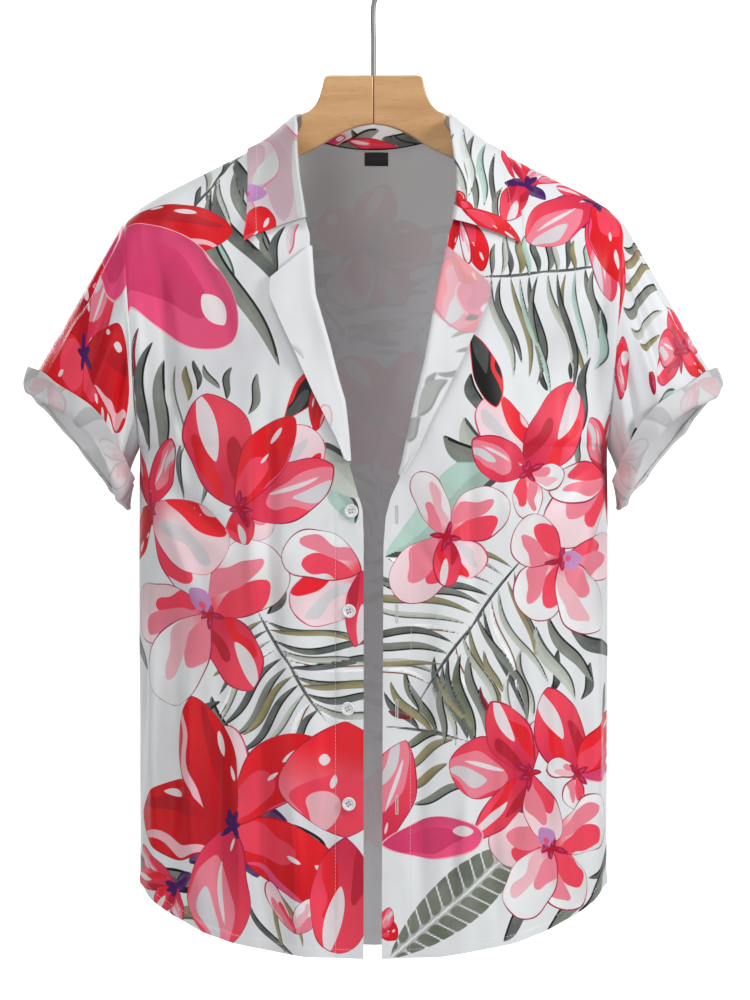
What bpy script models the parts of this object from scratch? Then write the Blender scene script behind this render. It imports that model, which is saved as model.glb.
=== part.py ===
"""A short-sleeved camp-collar shirt, worn open, on a two-part wooden hanger with a wire hook.

Metres, +Z up. The front faces -Y and the wearer's right is at -X. The origin is the inside top of the
hook, where a rail would carry it. Tables are in millimetres: "out" is the distance from the centre line,
"down" the distance below the flat top of the hanger. Each cloth piece is a closed wall: its outer points
are worked out first, and the inner points lie one wall thickness inside them.
"""

import math

import bmesh
import bpy
import numpy as np
from mathutils import Vector
from mathutils.bvhtree import BVHTree

MM = 0.001
WALL = 0.0015  # cloth
GAP = 0.0003  # between neighbouring pieces

# Body of the shirt
HANGER_TOP = -0.120  # height of the hanger's flat top, below the origin
HALF_WIDTH = 0.204  # at the side seams
ARM_HALF_WIDTH = 0.219  # at the shoulder tips
FRONT_DEPTH = 0.090  # front of the chest, from the side seams' plane
BACK_DEPTH = 0.085
HEM_TAPER = 0.93  # depth at the hem as a share of the chest's
ROUNDNESS = 2.5  # exponent of the body's oval
ARMHOLE_HALF_DEPTH = 0.055
UNDERARM_DOWN = 325.0
NECK_OUT = 72.0
BACK_NECK_DEPTH = 0.048
BACK_NECK_DROP = 0.015
SHOULDER_LINE = [(0, 47), (72, 47), (100, 62), (134, 79), (160, 92), (186, 105), (204, 116), (219, 129)]
HEM_LINE = [(0, 767), (58, 765), (83, 761), (121, 754), (148, 745), (174, 731), (192, 719), (204, 706)]

# Front edges: out, down. From the shoulder seam down the neckline, the lapel's roll and the closing edge.
FRONT_EDGE = {
    "right": [(72, 47), (69, 71), (62, 110), (59, 128), (55, 142), (55, 154), (52, 194), (40, 235),
              (32, 267), (26, 287), (23, 314), (21, 340), (15, 361), (9.5, 379), (8.5, 400), (8.5, 770)],
    "left": [(72, 47), (73, 86), (73, 106), (69, 130), (64, 145), (64, 154), (56, 194), (50, 228),
             (46, 251), (36, 292), (32, 311), (26, 340), (22, 354), (15, 369), (10.5, 386), (8.6, 411), (7, 770)],
}
# Lapels: down of the row's start on the roll, then out and down of its end on the outer edge.
LAPEL_ROWS = {
    "right": [(152, 89, 179), (172, 90, 194), (200, 80, 218), (235, 66, 248), (267, 53, 277),
              (290, 43, 297), (314, 33, 316), (338, 25, 336)],
    "left": [(153, 99, 183), (170, 101, 194), (195, 97, 204), (228, 84, 234), (251, 75, 253),
             (280, 62, 279), (305, 50, 302), (330, 39, 326), (350, 26.5, 347)],
}
LAPEL_LIFT = 0.0022  # the outer edge stands off the front
LAPEL_CLEARANCE = 0.0025  # middle of the lapel above the front
ROLL_GAP = 0.0004

# Large soft folds: out and down of the top, out and down of the bottom, half-width, depth of the trough.
FRONT_FOLDS = {
    "right": [(150, 330, 118, 745, 20, 6), (84, 300, 62, 760, 18, -5), (186, 400, 172, 720, 16, 5)],
    "left": [(140, 320, 152, 740, 20, 6), (96, 420, 78, 760, 18, -5), (184, 380, 190, 700, 15, 5)],
}
BACK_FOLDS = [(-60, 260, -86, 750, 22, 6), (20, 220, 6, 765, 24, 6), (98, 300, 120, 745, 20, 6),
              (-140, 340, -160, 730, 18, -4)]

# Sleeves and turned-up cuffs
CUFF_TOP = (302, 272)  # out, down of the sleeve's end on its upper fold
CUFF_BOTTOM = (216, 377)  # and under the arm
CUFF_HALF_DEPTH = 0.050
CUFF_FRONT_LIFT = 0.018  # the opening's front edge lies higher than its back edge
UNDERSLEEVE_BOW = 0.004
# Section of a cuff, millimetres: up the sleeve from its end, out from the sleeve's outer face.
CUFF_SECTION = [(-0.3, -0.75), (-1.5, -0.6), (-2.4, 0.5), (-2.1, 2.0), (-0.8, 3.0), (3.0, 3.5), (10.0, 4.3), (17.0, 5.2)]

# Collar stations from the front end to the centre back: out, down and back of the fold, then of the outer
# edge, in millimetres. Back is towards +Y.
COLLAR = {
    "right": [(59.5, 127, -68, 110, 148, -57), (61, 112, -66, 110, 130, -54), (64, 92, -59, 109, 108, -46),
              (66, 66, -46, 108, 86, -30), (66, 45, -22, 107, 69, -8), (66.5, 35, 3, 101, 64, 22),
              (54, 32, 31, 76, 70, 58), (30, 31, 45, 40, 78, 74), (0, 31, 49, 0, 81, 79)],
    "left": [(70, 129, -68, 128, 149, -57), (72.5, 112, -66, 129, 130, -54), (72, 92, -59, 127, 108, -46),
             (69, 66, -46, 121, 88, -30), (66, 43, -22, 112, 71, -8), (65.5, 34, 3, 103, 65, 22),
             (54, 32, 31, 76, 70, 58), (30, 31, 45, 40, 78, 74), (0, 31, 49, 0, 81, 79)],
}
FOLD_RADIUS = 0.0017
FALL_BOW = 0.002
NECK_CENTRE = np.array([0.0, -0.005, 0.0])
COLLAR_CLEARANCE = 0.0026  # middle of the fall above the panels
SEAM_RAISE = 0.0010  # the stand starts this far above the neck edge

# Small pieces
BUTTON_RADIUS = 0.006
BUTTON_THICKNESS = 0.0024
BUTTONS = [(19, 381), (21, 467), (22, 551), (21, 633)]  # out, down, on the right front
LABEL_OUT = (-8, 13)
LABEL_DOWN = (65, 77)
LABEL_THICKNESS = 0.0008

# Hanger: out, down
HANGER_THICKNESS = 0.013
HANGER_BEVEL = 0.0018
NECK_PROFILE = [(38, 0), (41.5, 1), (43.4, 4), (45, 11), (47.5, 19), (51, 26), (56, 31), (61.5, 33.4),
                (63, 36), (63.4, 44), (67, 50)]
ARM_STATIONS = [72, 84, 100, 118, 136, 154, 172, 184]
ARM_END = 195
ARM_UNDER_RIDGE = 2.9
ARM_HEIGHTS = (24.0, 17.0)  # at the neck, at the end
ARCH = [(62, 69), (52, 64.5), (42, 58.5), (32, 52.5), (22, 47.5), (11, 44), (0, 42.5)]
WIRE_RADIUS = 0.0022
HOOK_INNER_RADIUS = 0.017

# Grid counts
LOWER_ROWS = 11
UPPER_ROWS = 12
RIDGE_CROWDING = 1.4
NECK_COLUMNS = 4
SIDE_COLUMNS = 9
SLEEVE_RINGS = 7
LAPEL_COLUMNS = 4
COLLAR_STEPS = 2  # rows between neighbouring stations
FOLD_STEPS = 3
FALL_STEPS = 5
HOOK_STEPS = 2

COLOURS = {
    "cloth": ((0.80, 0.79, 0.80), 0.55, 0.0),
    "inside": ((0.84, 0.80, 0.81), 0.60, 0.0),
    "button": ((0.90, 0.90, 0.90), 0.25, 0.0),
    "label": ((0.01, 0.01, 0.012), 0.60, 0.0),
    "wood": ((0.62, 0.36, 0.18), 0.45, 0.0),
    "steel": ((0.62, 0.63, 0.64), 0.25, 1.0),
}


def clear_scene():
    for old in list(bpy.data.objects):
        bpy.data.objects.remove(old, do_unlink=True)


def material(name):
    """One Principled material for each kind of surface."""
    found = bpy.data.materials.get(name)
    if found:
        return found
    colour, roughness, metallic = COLOURS[name]
    made = bpy.data.materials.new(name)
    made.use_nodes = True
    shader = made.node_tree.nodes["Principled BSDF"]
    shader.inputs["Base Color"].default_value = (*colour, 1.0)
    shader.inputs["Roughness"].default_value = roughness
    shader.inputs["Metallic"].default_value = metallic
    return made


def add_object(name, mesh, kind):
    """A smooth-shaded object made from a mesh, with its edges over 40 degrees kept sharp."""
    mesh.shade_smooth()
    mesh.set_sharp_from_angle(angle=math.radians(40))
    mesh.materials.append(material(kind))
    made = bpy.data.objects.new(name, mesh)
    bpy.context.scene.collection.objects.link(made)
    return made


def height(down):
    """World height of a distance in millimetres below the hanger's flat top."""
    return HANGER_TOP - np.asarray(down, dtype=float) * MM


def along(table, column, where, key=0):
    """Value of one column of a table at a value of its key column."""
    rows = sorted(table, key=lambda row: row[key])
    return np.interp(where, [row[key] for row in rows], [row[column] for row in rows])


def unit(vectors):
    return vectors / np.maximum(np.linalg.norm(vectors, axis=-1, keepdims=True), 1e-12)


# ---- the body's form --------------------------------------------------------------------------------


def fold_offset(out, z, folds):
    """Depth of the soft folds at each point: a trough along a slanting line that fades in from its top."""
    total = np.zeros(np.broadcast(out, z).shape)
    for top_out, top_down, bottom_out, bottom_down, half_width, depth in folds:
        top, bottom = height(top_down), height(bottom_down)
        share = np.clip((top - z) / (top - bottom), 0.0, 1.0)
        line = (top_out + (bottom_out - top_out) * share) * MM
        ease = share**1.5 * (1.0 - 0.35 * share)
        total += depth * MM * ease * np.exp(-(((out - line) / (half_width * MM)) ** 2))
    return total


def form(across, up, back):
    """Outer points of the body, at share "across" from the centre (0) to the side or armhole (1, signed),
    and "up" from the hem (-1) by the underarm (0) to the shoulder (1). Below the underarm the section is
    an oval. Above it the ends follow the armhole's oval, and the front and back close on the shoulder."""
    across, up = np.broadcast_arrays(np.asarray(across, float), np.asarray(up, float))
    side = np.abs(across)
    rise = np.clip(up, 0.0, 1.0)
    fall = np.clip(-up, 0.0, 1.0)
    quarter = rise * math.pi / 2
    arm_share = np.sin(quarter) ** 2
    half = HALF_WIDTH + (ARM_HALF_WIDTH - HALF_WIDTH) * arm_share
    out = side * half

    underarm = height(UNDERARM_DOWN)
    hem = height(along(HEM_LINE, 1, out / MM))
    neck_share = NECK_OUT * MM / ARM_HALF_WIDTH
    in_neck = np.sqrt(np.clip(1.0 - (side / neck_share) ** 2, 0.0, 1.0))
    top = height(along(SHOULDER_LINE, 1, side * ARM_HALF_WIDTH / MM)) - (BACK_NECK_DROP if back else 0) * in_neck**2
    climb = (1.0 - side**2) * np.sin(quarter) + side**2 * arm_share
    z = underarm + (hem - underarm) * fall + (top - underarm) * climb

    depth = BACK_DEPTH if back else FRONT_DEPTH
    neck_depth = BACK_NECK_DEPTH if back else 0.0
    centre = neck_depth + (depth - neck_depth) * np.cos(quarter)
    centre = centre * (1.0 - (1.0 - HEM_TAPER) * fall**2)
    armhole = ARMHOLE_HALF_DEPTH * np.sin(2 * quarter)
    oval = np.clip(1.0 - side**ROUNDNESS, 0.0, 1.0) ** (1 / ROUNDNESS)
    gentle = 1.0 - side**2
    settle = np.clip(rise / 0.4, 0.0, 1.0)
    settle = settle * settle * (3 - 2 * settle)
    profile = oval + (gentle - oval) * settle
    neck_pull = rise**4
    y = neck_pull * neck_depth * in_neck + armhole + (centre - neck_pull * neck_depth - armhole) * profile
    return np.stack([np.sign(across) * out, y if back else -y, z], axis=-1)


def folded(points, folds, back):
    """Moves points of the body in or out by its folds, which fade towards the side seams."""
    out = points[..., 0]
    fade = np.clip((HALF_WIDTH - np.abs(out)) / 0.012, 0.0, 1.0)
    offset = fold_offset(np.abs(out) if not back else out, points[..., 2], folds) * fade
    moved = points.copy()
    moved[..., 1] += -offset if back else offset
    return moved


def up_values():
    """Rows from the hem to the underarm and on to the shoulder, closer together towards its ridge."""
    lower = np.linspace(-1.0, 0.0, LOWER_ROWS + 1)
    upper = 1.0 - np.linspace(1.0, 0.0, UPPER_ROWS + 1) ** RIDGE_CROWDING
    return np.concatenate([lower, upper[1:]])


def side_shares():
    """Column places, closer together where the oval turns towards the side seam."""
    return np.sin(np.linspace(0.0, math.pi / 2, SIDE_COLUMNS + 1)) ** (2 / ROUNDNESS)


def edge_share(side, up):
    """Share across at which the front edge crosses each row, found by repeated substitution."""
    share = np.full(len(up), 0.2)
    for _ in range(30):
        points = form(share, up, False)
        half = form(np.ones(len(up)), up, False)[:, 0]
        down = (HANGER_TOP - points[:, 2]) / MM
        share = 0.5 * share + 0.5 * along(FRONT_EDGE[side], 0, down, key=1) * MM / half
    return share


def front_points(side):
    """Rows from the hem up, columns from the front edge to the side seam and armhole."""
    up = up_values()
    edge = edge_share(side, up)[:, None]
    share = edge + (1.0 - edge) * side_shares()[None, :]
    points = folded(form(share, up[:, None], False), FRONT_FOLDS[side], False)
    points[..., 0] *= sign_of(side)
    return points


def back_points():
    """Rows from the hem up, columns from the right side to the left, with one on each neck point."""
    neck = NECK_OUT * MM / ARM_HALF_WIDTH
    inner = neck * np.sin(np.linspace(0.0, math.pi / 2, NECK_COLUMNS + 1))
    outer = neck + (1.0 - neck) * side_shares()
    half = np.concatenate([inner, outer[1:]])
    share = np.concatenate([-half[::-1], half[1:]])
    points = form(share[None, :], up_values()[:, None], True)
    return folded(points, BACK_FOLDS, True)


def sign_of(side):
    return -1.0 if side == "right" else 1.0


# ---- walls -----------------------------------------------------------------------------------------------


def grid_normals(points, closed, inside):
    """Unit normals of a grid of points, turned away from the point or points given as inside."""
    rows = np.gradient(points, axis=0)
    if closed:
        columns = (np.roll(points, -1, axis=1) - np.roll(points, 1, axis=1)) / 2
    else:
        columns = np.gradient(points, axis=1)
    normals = unit(np.cross(rows, columns))
    outward = np.sum(normals * (points - inside))
    return normals if outward > 0 else -normals


def pulled_in(points, edges):
    """Moves the named edges of a grid towards its middle by half a seam's gap."""
    moved = points.copy()
    for edge in edges:
        here, there = {"bottom": (0, 1), "top": (-1, -2), "first": (0, 1), "last": (-1, -2)}[edge]
        view = moved if edge in ("bottom", "top") else moved.swapaxes(0, 1)
        view[here] += unit(view[there] - view[here]) * GAP / 2
    return moved


def wall_mesh(name, outer, inner, closed=False):
    """A closed wall between two grids of points. A closed grid's last column joins its first."""
    rows, columns = outer.shape[:2]
    count = rows * columns
    span = columns if closed else columns - 1
    faces = []

    def at(layer, row, column):
        return layer * count + row * columns + column % columns

    for row in range(rows - 1):
        for column in range(span):
            ring = [(row, column), (row, column + 1), (row + 1, column + 1), (row + 1, column)]
            faces.append([at(0, *place) for place in ring])
            faces.append([at(1, *place) for place in reversed(ring)])
    for row, turn in ((0, 1), (rows - 1, -1)):
        for column in range(span):
            face = [at(0, row, column), at(1, row, column), at(1, row, column + 1), at(0, row, column + 1)]
            faces.append(face[::turn])
    if not closed:
        for column, turn in ((0, -1), (columns - 1, 1)):
            for row in range(rows - 1):
                face = [at(0, row, column), at(1, row, column), at(1, row + 1, column), at(0, row + 1, column)]
                faces.append(face[::turn])
    mesh = bpy.data.meshes.new(name)
    mesh.from_pydata(np.concatenate([outer.reshape(-1, 3), inner.reshape(-1, 3)]).tolist(), [], faces)
    shell = bmesh.new()
    shell.from_mesh(mesh)
    bmesh.ops.recalc_face_normals(shell, faces=shell.faces)
    shell.to_mesh(mesh)
    shell.free()
    return mesh


def surface_tree(grids):
    """A search tree over the outer faces of several open grids, with normals as their corner order gives."""
    points, faces = [], []
    for grid, flip in grids:
        rows, columns = grid.shape[:2]
        base = len(points)
        points.extend(Vector(point) for point in grid.reshape(-1, 3))
        for row in range(rows - 1):
            for column in range(columns - 1):
                first = base + row * columns + column
                face = [first, first + 1, first + columns + 1, first + columns]
                faces.append(face[::-1] if flip else face)
    return BVHTree.FromPolygons(points, faces)


# ---- cloth pieces -------------------------------------------------------------------------------------


def sleeve_rings(side, armhole):
    """Rings from the armhole to the sleeve's end. A ring runs from the underarm up the front, over the
    top and down the back."""
    sign = sign_of(side)
    count = armhole.shape[0]
    turn = np.linspace(0.0, 2 * math.pi, count, endpoint=False)
    top = np.array([sign * CUFF_TOP[0] * MM, 0.0, height(CUFF_TOP[1])])
    bottom = np.array([sign * CUFF_BOTTOM[0] * MM, 0.0, height(CUFF_BOTTOM[1])])
    middle, half = (top + bottom) / 2, (top - bottom) / 2
    upward = unit(np.array([-sign * (top - bottom)[2], 0.0, sign * (top - bottom)[0]]))
    front = np.clip(np.sin(turn), 0.0, 1.0)
    end = middle - half * np.cos(turn)[:, None]
    end = end + np.outer(front**4 * CUFF_FRONT_LIFT, upward)
    end[:, 1] -= CUFF_HALF_DEPTH * np.sin(turn)
    share = np.linspace(0.0, 1.0, SLEEVE_RINGS + 1)[:, None, None]
    rings = armhole[None] * (1 - share) + end[None] * share
    under = np.clip(np.cos(turn), 0.0, 1.0) ** 2
    rings[..., 0] += sign * UNDERSLEEVE_BOW * under[None] * 4 * share[..., 0] * (1 - share[..., 0])
    return rings


def cuff_grid(rings, normals):
    """Middle of the turned-up cuff: its section carried round the sleeve's end."""
    end = rings[-1]
    outward = normals[-1]
    round_edge = unit(np.roll(end, -1, axis=0) - np.roll(end, 1, axis=0))
    up_sleeve = unit(np.cross(outward, round_edge))
    up_sleeve *= np.sign(np.sum(up_sleeve * (rings[-2] - end), axis=-1, keepdims=True))
    section = np.array(CUFF_SECTION) * MM
    return end[None] + section[:, 0, None, None] * up_sleeve[None] + section[:, 1, None, None] * outward[None]


def both_faces(middle, closed, inside):
    """Outer and inner points of a wall given by its middle."""
    normals = grid_normals(middle, closed, inside)
    return middle + normals * WALL / 2, middle - normals * WALL / 2


def lapel_middle(side, edge, tree):
    """Middle of the folded-back front edge: rows down the roll, columns from behind the front's own edge,
    round it and over the front to the lapel's outer edge."""
    sign = sign_of(side)
    table = LAPEL_ROWS[side]
    top, bottom = table[0][0], table[-1][0]
    edge_downs = (HANGER_TOP - edge[:, 2]) / MM
    stations = [down for down in edge_downs[::-1] if top + 4 < down < bottom - 4]
    rows = []
    for roll_down in [top, *stations, bottom]:
        end_out = along(table, 1, roll_down)
        end_down = along(table, 2, roll_down)
        roll = point_at_height(edge, height(roll_down))
        along_edge = point_at_height(edge, height(roll_down - 8)) - roll
        inward = unit(np.array([-sign * along_edge[2], 0.0, sign * along_edge[0]]))
        end = np.array([sign * end_out * MM, 0.0, height(end_down)])
        width = (end - roll) * np.array([1.0, 0.0, 1.0])
        row = [
            roll + inward * (ROLL_GAP + WALL / 2) + np.array([0.0, WALL / 2, 0.0]),
            roll + inward * (ROLL_GAP + WALL / 2 + 0.0003) - np.array([0.0, 0.0007, 0.0]),
        ]
        for share in np.linspace(0.0, 1.0, LAPEL_COLUMNS + 1):
            place = roll - inward * 0.0012 * (1 - share) + width * share
            lift = LAPEL_CLEARANCE + LAPEL_LIFT * share**1.5
            row.append(np.array([place[0], probe(tree, place) - lift, place[2]]))
        rows.append(row)
    return np.array(rows)


def point_at_height(line, z):
    """Point of a rising line at a height."""
    return np.array([np.interp(z, line[:, 2], line[:, axis]) for axis in range(3)])


def probe(tree, place):
    """Y of the front's outer face at a point's x and z, seen from the front."""
    hit = tree.ray_cast(Vector((place[0], -1.0, place[2])), Vector((0, 1, 0)))[0]
    if hit is None:
        hit = tree.find_nearest(Vector((place[0], -FRONT_DEPTH, place[2])))[0]
    return hit.y


def smooth_rows(rows, steps):
    """Catmull-Rom interpolation between rows of numbers."""
    rows = np.asarray(rows, float)
    padded = np.concatenate([2 * rows[:1] - rows[1:2], rows, 2 * rows[-1:] - rows[-2:-1]])
    found = []
    for index in range(len(rows) - 1):
        p0, p1, p2, p3 = padded[index : index + 4]
        for step in range(steps):
            t = step / steps
            found.append(
                0.5 * (2 * p1 + (p2 - p0) * t + (2 * p0 - 5 * p1 + 4 * p2 - p3) * t**2
                       + (3 * p1 - p0 - 3 * p2 + p3) * t**3)
            )
    found.append(rows[-1])
    return np.array(found)


def collar_rows():
    """Fold and outer edge of the collar from the right front end round the back to the left front end."""
    halves = {}
    for side in ("right", "left"):
        rows = smooth_rows(COLLAR[side], COLLAR_STEPS)
        sign = sign_of(side)
        fold = np.stack([sign * rows[:, 0] * MM, rows[:, 2] * MM, height(rows[:, 1])], axis=1)
        edge = np.stack([sign * rows[:, 3] * MM, rows[:, 5] * MM, height(rows[:, 4])], axis=1)
        halves[side] = (fold, edge)
    fold = np.concatenate([halves["right"][0], halves["left"][0][-2::-1]])
    edge = np.concatenate([halves["right"][1], halves["left"][1][-2::-1]])
    return fold, edge


def neckline(fronts, back):
    """The shirt's neck edge, from the right collar end by the back to the left collar end."""
    neck = NECK_COLUMNS
    middle = back.shape[1] // 2
    back_edge = back[-1, middle - neck : middle + neck + 1]
    pieces = []
    for side in ("right", "left"):
        edge = fronts[side][:, 0]
        end_height = height(COLLAR[side][0][1] + 1)
        pieces.append(edge[edge[:, 2] > end_height])
    return np.concatenate([pieces[0], back_edge[1:-1], pieces[1][::-1]])


def resampled(line, like):
    """Points of a line at the same shares of its length as another line has."""
    def shares(points):
        steps = np.linalg.norm(np.diff(points, axis=0), axis=1)
        run = np.concatenate([[0.0], np.cumsum(steps)])
        return run / run[-1]

    return np.stack([np.interp(shares(like), shares(line), line[:, axis]) for axis in range(3)], axis=1)


def collar_middle(fronts, back, tree):
    """Middle of the collar: up the stand from the neck seam, round the fold and down the fall, which
    settles on the shirt towards its outer edge."""
    fold, edge = collar_rows()
    seam = resampled(neckline(fronts, back), fold)
    inward = unit((NECK_CENTRE - seam) * np.array([1.0, 1.0, 0.0]))
    seam = seam + inward * (GAP + WALL / 2) + np.array([0.0, 0.0, SEAM_RAISE])
    rising = unit(fold - seam)
    falling = unit(edge - fold)
    ahead = np.sum(falling * rising, axis=1, keepdims=True)
    sideways = unit(falling - rising * ahead)
    turn = np.arctan2(np.sqrt(1.0 - ahead**2), ahead)
    columns = [seam, seam + (fold - seam) * 0.5]
    for share in np.linspace(0.0, 1.0, FOLD_STEPS + 1):
        angle = turn * share
        columns.append(fold + FOLD_RADIUS * (sideways * (1 - np.cos(angle)) + rising * (np.sin(angle) - 1)))
    bend_end = columns[-1]
    for share in np.linspace(0.0, 1.0, FALL_STEPS + 1)[1:]:
        bow = np.array([0.0, 0.0, FALL_BOW * 4 * share * (1 - share)])
        columns.append(settled(bend_end + (edge - bend_end) * share + bow, tree, share))
    return np.stack(columns, axis=1)


def settled(points, tree, share):
    """Pushes points clear of the shirt, and draws those near the outer edge down onto it."""
    moved = []
    for point in points:
        near, normal, _, _ = tree.find_nearest(Vector(point))
        distance = (Vector(point) - near).dot(normal)
        missing = COLLAR_CLEARANCE - distance
        weight = 1.0 if missing > 0 else share**2
        moved.append(np.array(Vector(point) + normal * missing * weight))
    return np.array(moved)


def make_cloth():
    fronts = {side: front_points(side) for side in ("right", "left")}
    back = back_points()
    middle = np.array([0.0, 0.0, 0.0])
    upper = slice(LOWER_ROWS, None)
    axis_inside = {side: fronts[side] * np.array([0.2, 0.0, 1.0]) for side in fronts}
    front_normals = {side: grid_normals(fronts[side], False, axis_inside[side]) for side in fronts}
    back_normals = grid_normals(back, False, back * np.array([0.2, 0.0, 1.0]))
    sleeves, sleeve_normals = {}, {}
    for side, column in (("right", 0), ("left", -1)):
        front_arm = fronts[side][upper, -1]
        back_arm = back[upper, column]
        armhole = np.concatenate([front_arm, back_arm[-2:0:-1]])
        sleeves[side] = sleeve_rings(side, armhole)
        centre_line = sleeves[side].mean(axis=1, keepdims=True)
        sleeve_normals[side] = grid_normals(sleeves[side], True, centre_line)
        share_seams(front_normals[side], back_normals, sleeve_normals[side], column)

    for side in fronts:
        front_wall(side, fronts[side], front_normals[side])
        sleeve_wall(side, sleeves[side], sleeve_normals[side])
    outer = pulled_in(back, ("top", "first", "last"))
    add_object("back", wall_mesh("back", outer, outer - back_normals * WALL), "cloth")

    front_tree = surface_tree([(fronts["right"], True), (fronts["left"], False)])
    for side in fronts:
        grid = lapel_middle(side, fronts[side][:, 0], front_tree)
        outer, inner = both_faces(grid, False, grid + np.array([0.0, 0.2, 0.0]))
        add_object(f"lapel_{side}", wall_mesh(f"lapel_{side}", outer, inner), "inside")

    body_tree = surface_tree([(fronts["right"], True), (fronts["left"], False), (back, True)])
    collar = collar_middle(fronts, back, body_tree)
    outer, inner = both_faces(collar, False, collar * 0 + np.array([0.0, 0.0, height(70)]))
    add_object("collar", wall_mesh("collar", outer, inner), "cloth")
    make_buttons(front_tree)
    make_label(surface_tree([(back, True)]))


def share_seams(front, back, sleeve, column):
    """Gives the two or three pieces that meet at a seam the same normal there, so that their edges match."""
    upper = slice(LOWER_ROWS, None)
    lower = slice(0, LOWER_ROWS)
    side = unit(front[lower, -1] + back[lower, column])
    front[lower, -1] = side
    back[lower, column] = side
    ring = np.concatenate([front[upper, -1], back[upper, column][-2:0:-1]])
    tip = UPPER_ROWS
    ring[tip] = front[-1, -1] + back[-1, column]
    ring[0] = front[LOWER_ROWS, -1] + back[LOWER_ROWS, column]
    ring = unit(unit(ring) + sleeve[0])
    sleeve[0] = ring
    front[upper, -1] = ring[: tip + 1]
    back[upper, column] = np.concatenate([ring[:1], ring[: tip - 1 : -1]])
    half = back.shape[1] // 2
    reach = SIDE_COLUMNS + 1
    shoulder = back[-1, :reach][::-1] if column == 0 else back[-1, -reach:]
    shared = unit(front[-1] + shoulder)
    front[-1] = shared
    if column == 0:
        back[-1, :reach] = shared[::-1]
    else:
        back[-1, -reach:] = shared
    assert half == NECK_COLUMNS + SIDE_COLUMNS


def front_wall(side, points, normals):
    outer = pulled_in(points, ("top", "last"))
    name = f"front_{side}"
    add_object(name, wall_mesh(name, outer, outer - normals * WALL), "cloth")


def sleeve_wall(side, rings, normals):
    outer = pulled_in(rings, ("bottom",))
    name = f"sleeve_{side}"
    add_object(name, wall_mesh(name, outer, outer - normals * WALL, closed=True), "cloth")
    cuff = cuff_grid(rings, normals)
    centre_line = cuff.mean(axis=1, keepdims=True)
    outer, inner = both_faces(cuff, True, centre_line)
    name = f"cuff_{side}"
    add_object(name, wall_mesh(name, outer, inner, closed=True), "inside")


# ---- small pieces ------------------------------------------------------------------------------------


def make_buttons(tree):
    """Turned discs with a raised rim, seated on the right front."""
    rim = BUTTON_RADIUS
    thick = BUTTON_THICKNESS
    profile = [(0.0, 0.0), (rim * 0.85, 0.0), (rim, thick * 0.4), (rim * 0.93, thick), (rim * 0.72, thick),
               (rim * 0.62, thick * 0.72), (0.0, thick * 0.72)]
    mesh = button_mesh(profile)
    for index, (out, down) in enumerate(BUTTONS, start=1):
        start = Vector((-out * MM, -1.0, height(down)))
        place, normal, _, _ = tree.ray_cast(start, Vector((0, 1, 0)))
        made = add_object(f"button_{index}", mesh.copy(), "button")
        made.location = place + normal * GAP * 1.3
        made.rotation_euler = normal.to_track_quat("Z", "Y").to_euler()


def button_mesh(profile):
    """Spins the profile round Z."""
    turned = bmesh.new()
    points = [turned.verts.new((radius, 0.0, z)) for radius, z in profile]
    edges = [turned.edges.new(pair) for pair in zip(points, points[1:])]
    bmesh.ops.spin(turned, geom=points + edges, axis=(0, 0, 1), cent=(0, 0, 0), angle=2 * math.pi, steps=20)
    bmesh.ops.remove_doubles(turned, verts=turned.verts, dist=1e-6)
    bmesh.ops.recalc_face_normals(turned, faces=turned.faces)
    mesh = bpy.data.meshes.new("button")
    turned.to_mesh(mesh)
    turned.free()
    return mesh


def make_label(tree):
    """A plain woven label inside the back neck, on the back's inner face."""
    rows = np.linspace(LABEL_DOWN[1], LABEL_DOWN[0], 3)
    columns = np.linspace(LABEL_OUT[0], LABEL_OUT[1], 5)
    places = []
    for down in rows:
        line = []
        for out in columns:
            start = Vector((out * MM, 0.0, height(down)))
            hit, normal, _, _ = tree.ray_cast(start, Vector((0, 1, 0)))
            line.append(np.array(hit - normal * (WALL + GAP * 1.5)))
        places.append(line)
    outer = np.array(places)
    inner = outer - np.array([0.0, LABEL_THICKNESS, 0.0])
    add_object("neck_label", wall_mesh("neck_label", outer, inner), "label")


# ---- hanger ------------------------------------------------------------------------------------------


def hanger_outline():
    """Half of the hanger's front view, from its joint along the top, out to the arm's end and back."""
    def share(out):
        return (out - ARM_STATIONS[0]) / (ARM_END - ARM_STATIONS[0])

    def arm_height(out):
        return ARM_HEIGHTS[0] + (ARM_HEIGHTS[1] - ARM_HEIGHTS[0]) * share(out)

    tops = [(out, float(along(SHOULDER_LINE, 1, out)) + ARM_UNDER_RIDGE) for out in ARM_STATIONS]
    last_out, last_down = tops[-1]
    radius = arm_height(last_out) / 2
    end = [
        (last_out + (ARM_END - last_out) * math.sin(math.radians(turn)),
         last_down + radius * (1 - math.cos(math.radians(turn))) + 5.5 * math.sin(math.radians(turn / 2)))
        for turn in (30, 60, 90, 120, 150)
    ]
    bottoms = [(out, down + arm_height(out)) for out, down in reversed(tops)]
    return [(0, 0)] + NECK_PROFILE + tops + end + bottoms + ARCH


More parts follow.
